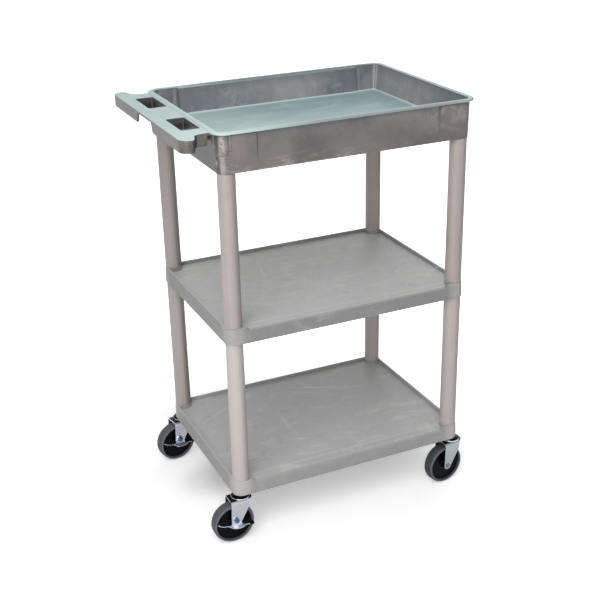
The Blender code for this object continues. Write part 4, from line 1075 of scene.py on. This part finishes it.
def add_head(corner):
    """Pressed upper race with its rolled lip, and the black seal under it."""
    low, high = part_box(f"caster_race_{corner}")
    where = foot_of(f"caster_race_{corner}")
    radius, inside = RACE_RADIUS, high.z - RACE_DEPTH
    race = ((RACE_BORE, high.z), (radius - 0.0046, high.z, 0.0012),
            (radius - 0.0034, high.z - 0.0012, 0.0008), (radius - 0.0012, inside + 0.0004, 0.0012),
            (radius, inside - 0.0006, 0.0008), (radius, low.z, 0.0005),
            (radius - RACE_PLATE, low.z), (radius - RACE_PLATE, inside - 0.001),
            (radius - 0.003, inside - 0.0006), (RACE_BORE, inside - 0.0006))
    turn(f"race_{corner}", rounded(race, 0.0003), RACE, "cart_frame", f"caster_race_{corner}",
         where, segments=72)
    low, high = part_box(f"caster_bearing_{corner}")
    bore = RACE_BORE + SKIN
    seal = ((bore, high.z), (SEAL_RADIUS - 0.0007, high.z), (SEAL_RADIUS, low.z + 0.0014),
            (SEAL_RADIUS, low.z), (bore, low.z))
    turn(f"seal_{corner}", rounded(seal, 0.0005), SEAL, "cart_frame", f"caster_bearing_{corner}",
         where)


def fork_section(top):
    """Cross-section of the bent plate, seen along X, as a closed outline."""
    center = FORK_HALF - FORK_BEND
    inside, bend = FORK_HALF - FORK_PLATE, FORK_BEND - FORK_PLATE
    outer = [(-FORK_HALF, 0.0)] + arc((-center, top - FORK_BEND), FORK_BEND, 180, 90, 12)
    outer += arc((center, top - FORK_BEND), FORK_BEND, 90, 0, 12) + [(FORK_HALF, 0.0)]
    inner = [(inside, 0.0)] + arc((center, top - FORK_BEND), bend, 0, 90, 10)
    inner += arc((-center, top - FORK_BEND), bend, 90, 180, 10) + [(-inside, 0.0)]
    return outer + inner


def add_fork(corner):
    """Bent steel yoke, trimmed to its side view and to the round of its crown."""
    node = f"caster_fork_{corner}"
    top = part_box(node)[1].z
    under, over = top - FORK_PLATE, top + OVERCUT
    rear = -CROWN_REAR - WHEEL_RADIUS
    fork = add_piece(f"fork_{corner}_yoke",
                     prism(fork_section(top), "X", rear, CROWN_RADIUS + OVERCUT * 2), FORKS[corner])
    side = [(-CROWN_REAR, over)]
    side += arc((-CASTER_TRAIL, WHEEL_RADIUS), FORK_END_RADIUS, 180, 335, 24)
    side += [(FORK_FRONT, under - FORK_SHOULDER), (FORK_FRONT + FORK_PLATE, under - SKIN)]
    side += [(CROWN_RADIUS + OVERCUT, under - SKIN), (CROWN_RADIUS + OVERCUT, over)]
    carve(fork, prism(side, "Y", -FORK_HALF - OVERCUT, FORK_HALF + OVERCUT), "INTERSECT")
    plan = arc((0.0, 0.0), CROWN_RADIUS, -90, 90, 32)
    plan += [(rear, CROWN_RADIUS), (rear, -CROWN_RADIUS)]
    carve(fork, prism(plan, "Z", 0.0, over + OVERCUT), "INTERSECT")
    bores = bmesh.new()
    add_cylinder(bores, FORK_STEM_BORE, under - OVERCUT, over, (0.0, 0.0))
    add_cylinder(bores, FORK_AXLE_BORE, -FORK_HALF - OVERCUT, FORK_HALF + OVERCUT,
                 (-CASTER_TRAIL, WHEEL_RADIUS), along_y=True)
    carve(fork, bores)
    where = joint_frame(f"wheel_spin_{corner}")
    where.translation = JOINTS[f"swivel_{corner}"]["pos_m"]
    where.translation.z = 0.0
    fork.data.transform(where)
    soften(fork, FORK_EDGE, segments=3, angle=50.0)
    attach(fork, f"fork_{corner}")
    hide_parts(node)


def lever_section(x):
    """Cross-section of the foot bar, with rounded edges, at a distance from the pivot."""
    bow = 0.0
    if abs(x) < LEVER_BOW_HALF:
        bow = LEVER_BOW * math.cos(math.pi / 2 * x / LEVER_BOW_HALF)
    lean = LEVER_LEAN * bow / LEVER_BOW
    level = -LEVER_DROP
    if x < 0:
        level += LEVER_RISE * (x / LEVER_REAR) ** 2
    else:
        level -= LEVER_FALL * min(1.0, x / LEVER_FALL_LENGTH)
    if x < -LEVER_BOW_HALF / 2:
        end = math.sqrt(max(0.0, 1.0 - ((-x - LEVER_LOOP_MIDDLE) / LEVER_LOOP_HALF) ** 2))
        bow = max(bow, LEVER_LOOP * end)
    near, far = -LEVER_BAR, -(LEVER_BAR + LEVER_BAR_WIDTH + bow)
    half, edge = LEVER_PLATE / 2, LEVER_BAR_EDGE
    corners = ((near - edge, half - edge, 0), (far + edge, half - edge - lean, 90),
               (far + edge, edge - half - lean, 180), (near - edge, edge - half, 270))
    section = []
    for y, z, start in corners:
        section += arc((y, z), edge, start, start + 90, 3)
    return [(x, y, level + z) for y, z in section]


def lever_place(corner):
    """Matrix from the lever's own frame, with the fork's middle at Y = 0, to the cart's."""
    row, wheel = JOINTS[f"brake_rock_{corner}"], JOINTS[f"wheel_spin_{corner}"]
    axle = Vector(wheel["axis"]).normalized()
    aside = (Vector(row["pos_m"]) - Vector(wheel["pos_m"])).dot(axle)
    return joint_frame(f"brake_rock_{corner}") @ Matrix.Translation((0.0, -aside, 0.0))


def add_lever(corner):
    """The foot bar: an ear on the pivot bolt, a web leaning out, and a bowed bar."""
    bar = bmesh.new()
    length = LEVER_REAR + LEVER_FRONT
    loft(bar, [lever_section(-LEVER_REAR + length * k / LEVER_STEPS) for k in range(LEVER_STEPS + 1)])
    lever = add_piece(f"lever_{corner}", bar, LEVER)
    ear = [(-EAR_HALF_FOOT, -EAR_FOOT), (EAR_HALF_FOOT, -EAR_FOOT)]
    ear += arc((0.0, 0.0), EAR_RADIUS, 0, 180, 24)
    carve(lever, prism(ear, "Y", -LEVER_INNER - LEVER_PLATE, -LEVER_INNER), "UNION")
    inset = LEVER_PLATE / 5
    half, top = EAR_HALF_FOOT - inset, LEVER_PLATE - EAR_FOOT
    web = ((-LEVER_INNER - inset, top), (-LEVER_INNER - LEVER_PLATE + inset, top),
           (-LEVER_BAR - LEVER_PLATE - inset, -LEVER_DROP), (-LEVER_BAR - inset, -LEVER_DROP))
    carve(lever, prism(web, "X", -half, half), "UNION")
    bore = bmesh.new()
    reach = LEVER_PLATE * 2.5
    add_cylinder(bore, LEVER_BORE, -LEVER_INNER - reach, -LEVER_INNER + reach, (0.0, 0.0), 24, True)
    carve(lever, bore)
    lever.data.transform(lever_place(corner))
    soften(lever, LEVER_EDGE, angle=50.0)
    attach(lever, f"brake_{corner}")
    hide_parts(f"brake_lever_{corner}")


def dress_nodes():
    """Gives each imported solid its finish, and soft edges where it shows."""
    for name, node in frame["nodes"].items():
        finish = next(value for key, value in NODE_FINISH.items() if name.startswith(key))
        node.data.materials.clear()
        node.data.materials.append(finish)
        soften(node, SHELF_EDGE if name.endswith("shelf") else SHELF_EDGE / 2)


def light_path(tree):
    """1 for rays that show the background plainly: to the camera, mirrored or through."""
    node = tree.nodes.new("ShaderNodeLightPath")
    camera, glossy, through = (Shade(tree, node.outputs[name]) for name in
                               ("Is Camera Ray", "Is Glossy Ray", "Is Transmission Ray"))
    return camera.math("MAXIMUM", glossy).math("MAXIMUM", through)


def add_floor():
    """Pale floor that shows white to the camera but keeps the cart's shadow."""
    bm = bmesh.new()
    bmesh.ops.create_grid(bm, x_segments=1, y_segments=1, size=FLOOR_HALF)
    finish = Finish("floor_paper", Roughness=0.9, Specular_IOR_Level=0.0, Emission_Strength=1.0)
    plain = light_path(finish.tree)
    past_shadow = finish.band(finish.away(SHADOW_MIDDLE), SHADOW_REACH, 2 * SHADOW_REACH)
    at_end = finish.band(finish.away(END_SHADE_MIDDLE), END_SHADE_REACH, END_SHADE_CORE)
    glow = (FLOOR_GLOW + (1.0 - FLOOR_GLOW) * past_shadow) * (1.0 - END_SHADE * at_end)
    color = finish.layers((225, 225, 225), (plain, (255, 255, 255)))
    glow = finish.layers((0, 0, 0), (glow * plain, (255, 255, 255)))
    floor = add_piece("floor", bm, finish.use(Base_Color=color, Emission_Color=glow))


def add_world():
    """White to the camera and to mirrors, and an even soft light for everything else."""
    world = bpy.data.worlds.new("studio")
    world.use_nodes = True
    bpy.context.scene.world = world
    tree = world.node_tree
    background = tree.nodes["Background"]
    background.inputs["Color"].default_value = (1.0, 1.0, 1.0, 1.0)
    plain = light_path(tree)
    feed(tree, background.inputs["Strength"], WORLD_LIGHT + (1.0 - WORLD_LIGHT) * plain)


def add_light(name, place, aim, size, power):
    """A soft round lamp that points at a place."""
    data = bpy.data.lights.new(name, "AREA")
    data.shape = "DISK"
    data.size = size
    data.energy = power
    light = bpy.data.objects.new(name, data)
    light.location = place
    light.rotation_euler = (Vector(aim) - Vector(place)).to_track_quat("-Z", "Y").to_euler()
    bpy.context.scene.collection.objects.link(light)


def add_camera():
    """The photograph's camera, from its place, its three turns and its focal length."""
    data = bpy.data.cameras.new("camera")
    data.sensor_width = SENSOR_WIDTH
    data.lens = FOCAL_PIXELS * SENSOR_WIDTH / PICTURE_SIZE
    data.clip_start, data.clip_end = 0.05, 60.0
    camera = bpy.data.objects.new("camera", data)
    yaw, pitch, roll = CAMERA_YAW, CAMERA_PITCH, CAMERA_ROLL
    ahead = Vector((-math.sin(yaw) * math.cos(pitch), math.cos(yaw) * math.cos(pitch),
                    math.sin(pitch)))
    level = Vector((math.cos(yaw), math.sin(yaw), 0.0))
    rise = level.cross(ahead)
    right = math.cos(roll) * level + math.sin(roll) * rise
    up = math.cos(roll) * rise - math.sin(roll) * level
    camera.matrix_world = Matrix.Translation(CART_MIDDLE + CAMERA_FROM_LEGS) @ Matrix(
        ((right.x, up.x, -ahead.x), (right.y, up.y, -ahead.y), (right.z, up.z, -ahead.z))
    ).to_4x4()
    bpy.context.scene.collection.objects.link(camera)
    bpy.context.scene.camera = camera


dress_nodes()
add_tub()
add_legs()
for corner in CORNERS:
    add_wheel(corner)
    add_head(corner)
    add_fork(corner)
for corner in BRAKED:
    add_lever(corner)
add_floor()
add_world()
for name, lamp in LAMPS.items():
    add_light(name, *lamp)
add_camera()
bpy.context.scene.view_settings.view_transform = "Standard"
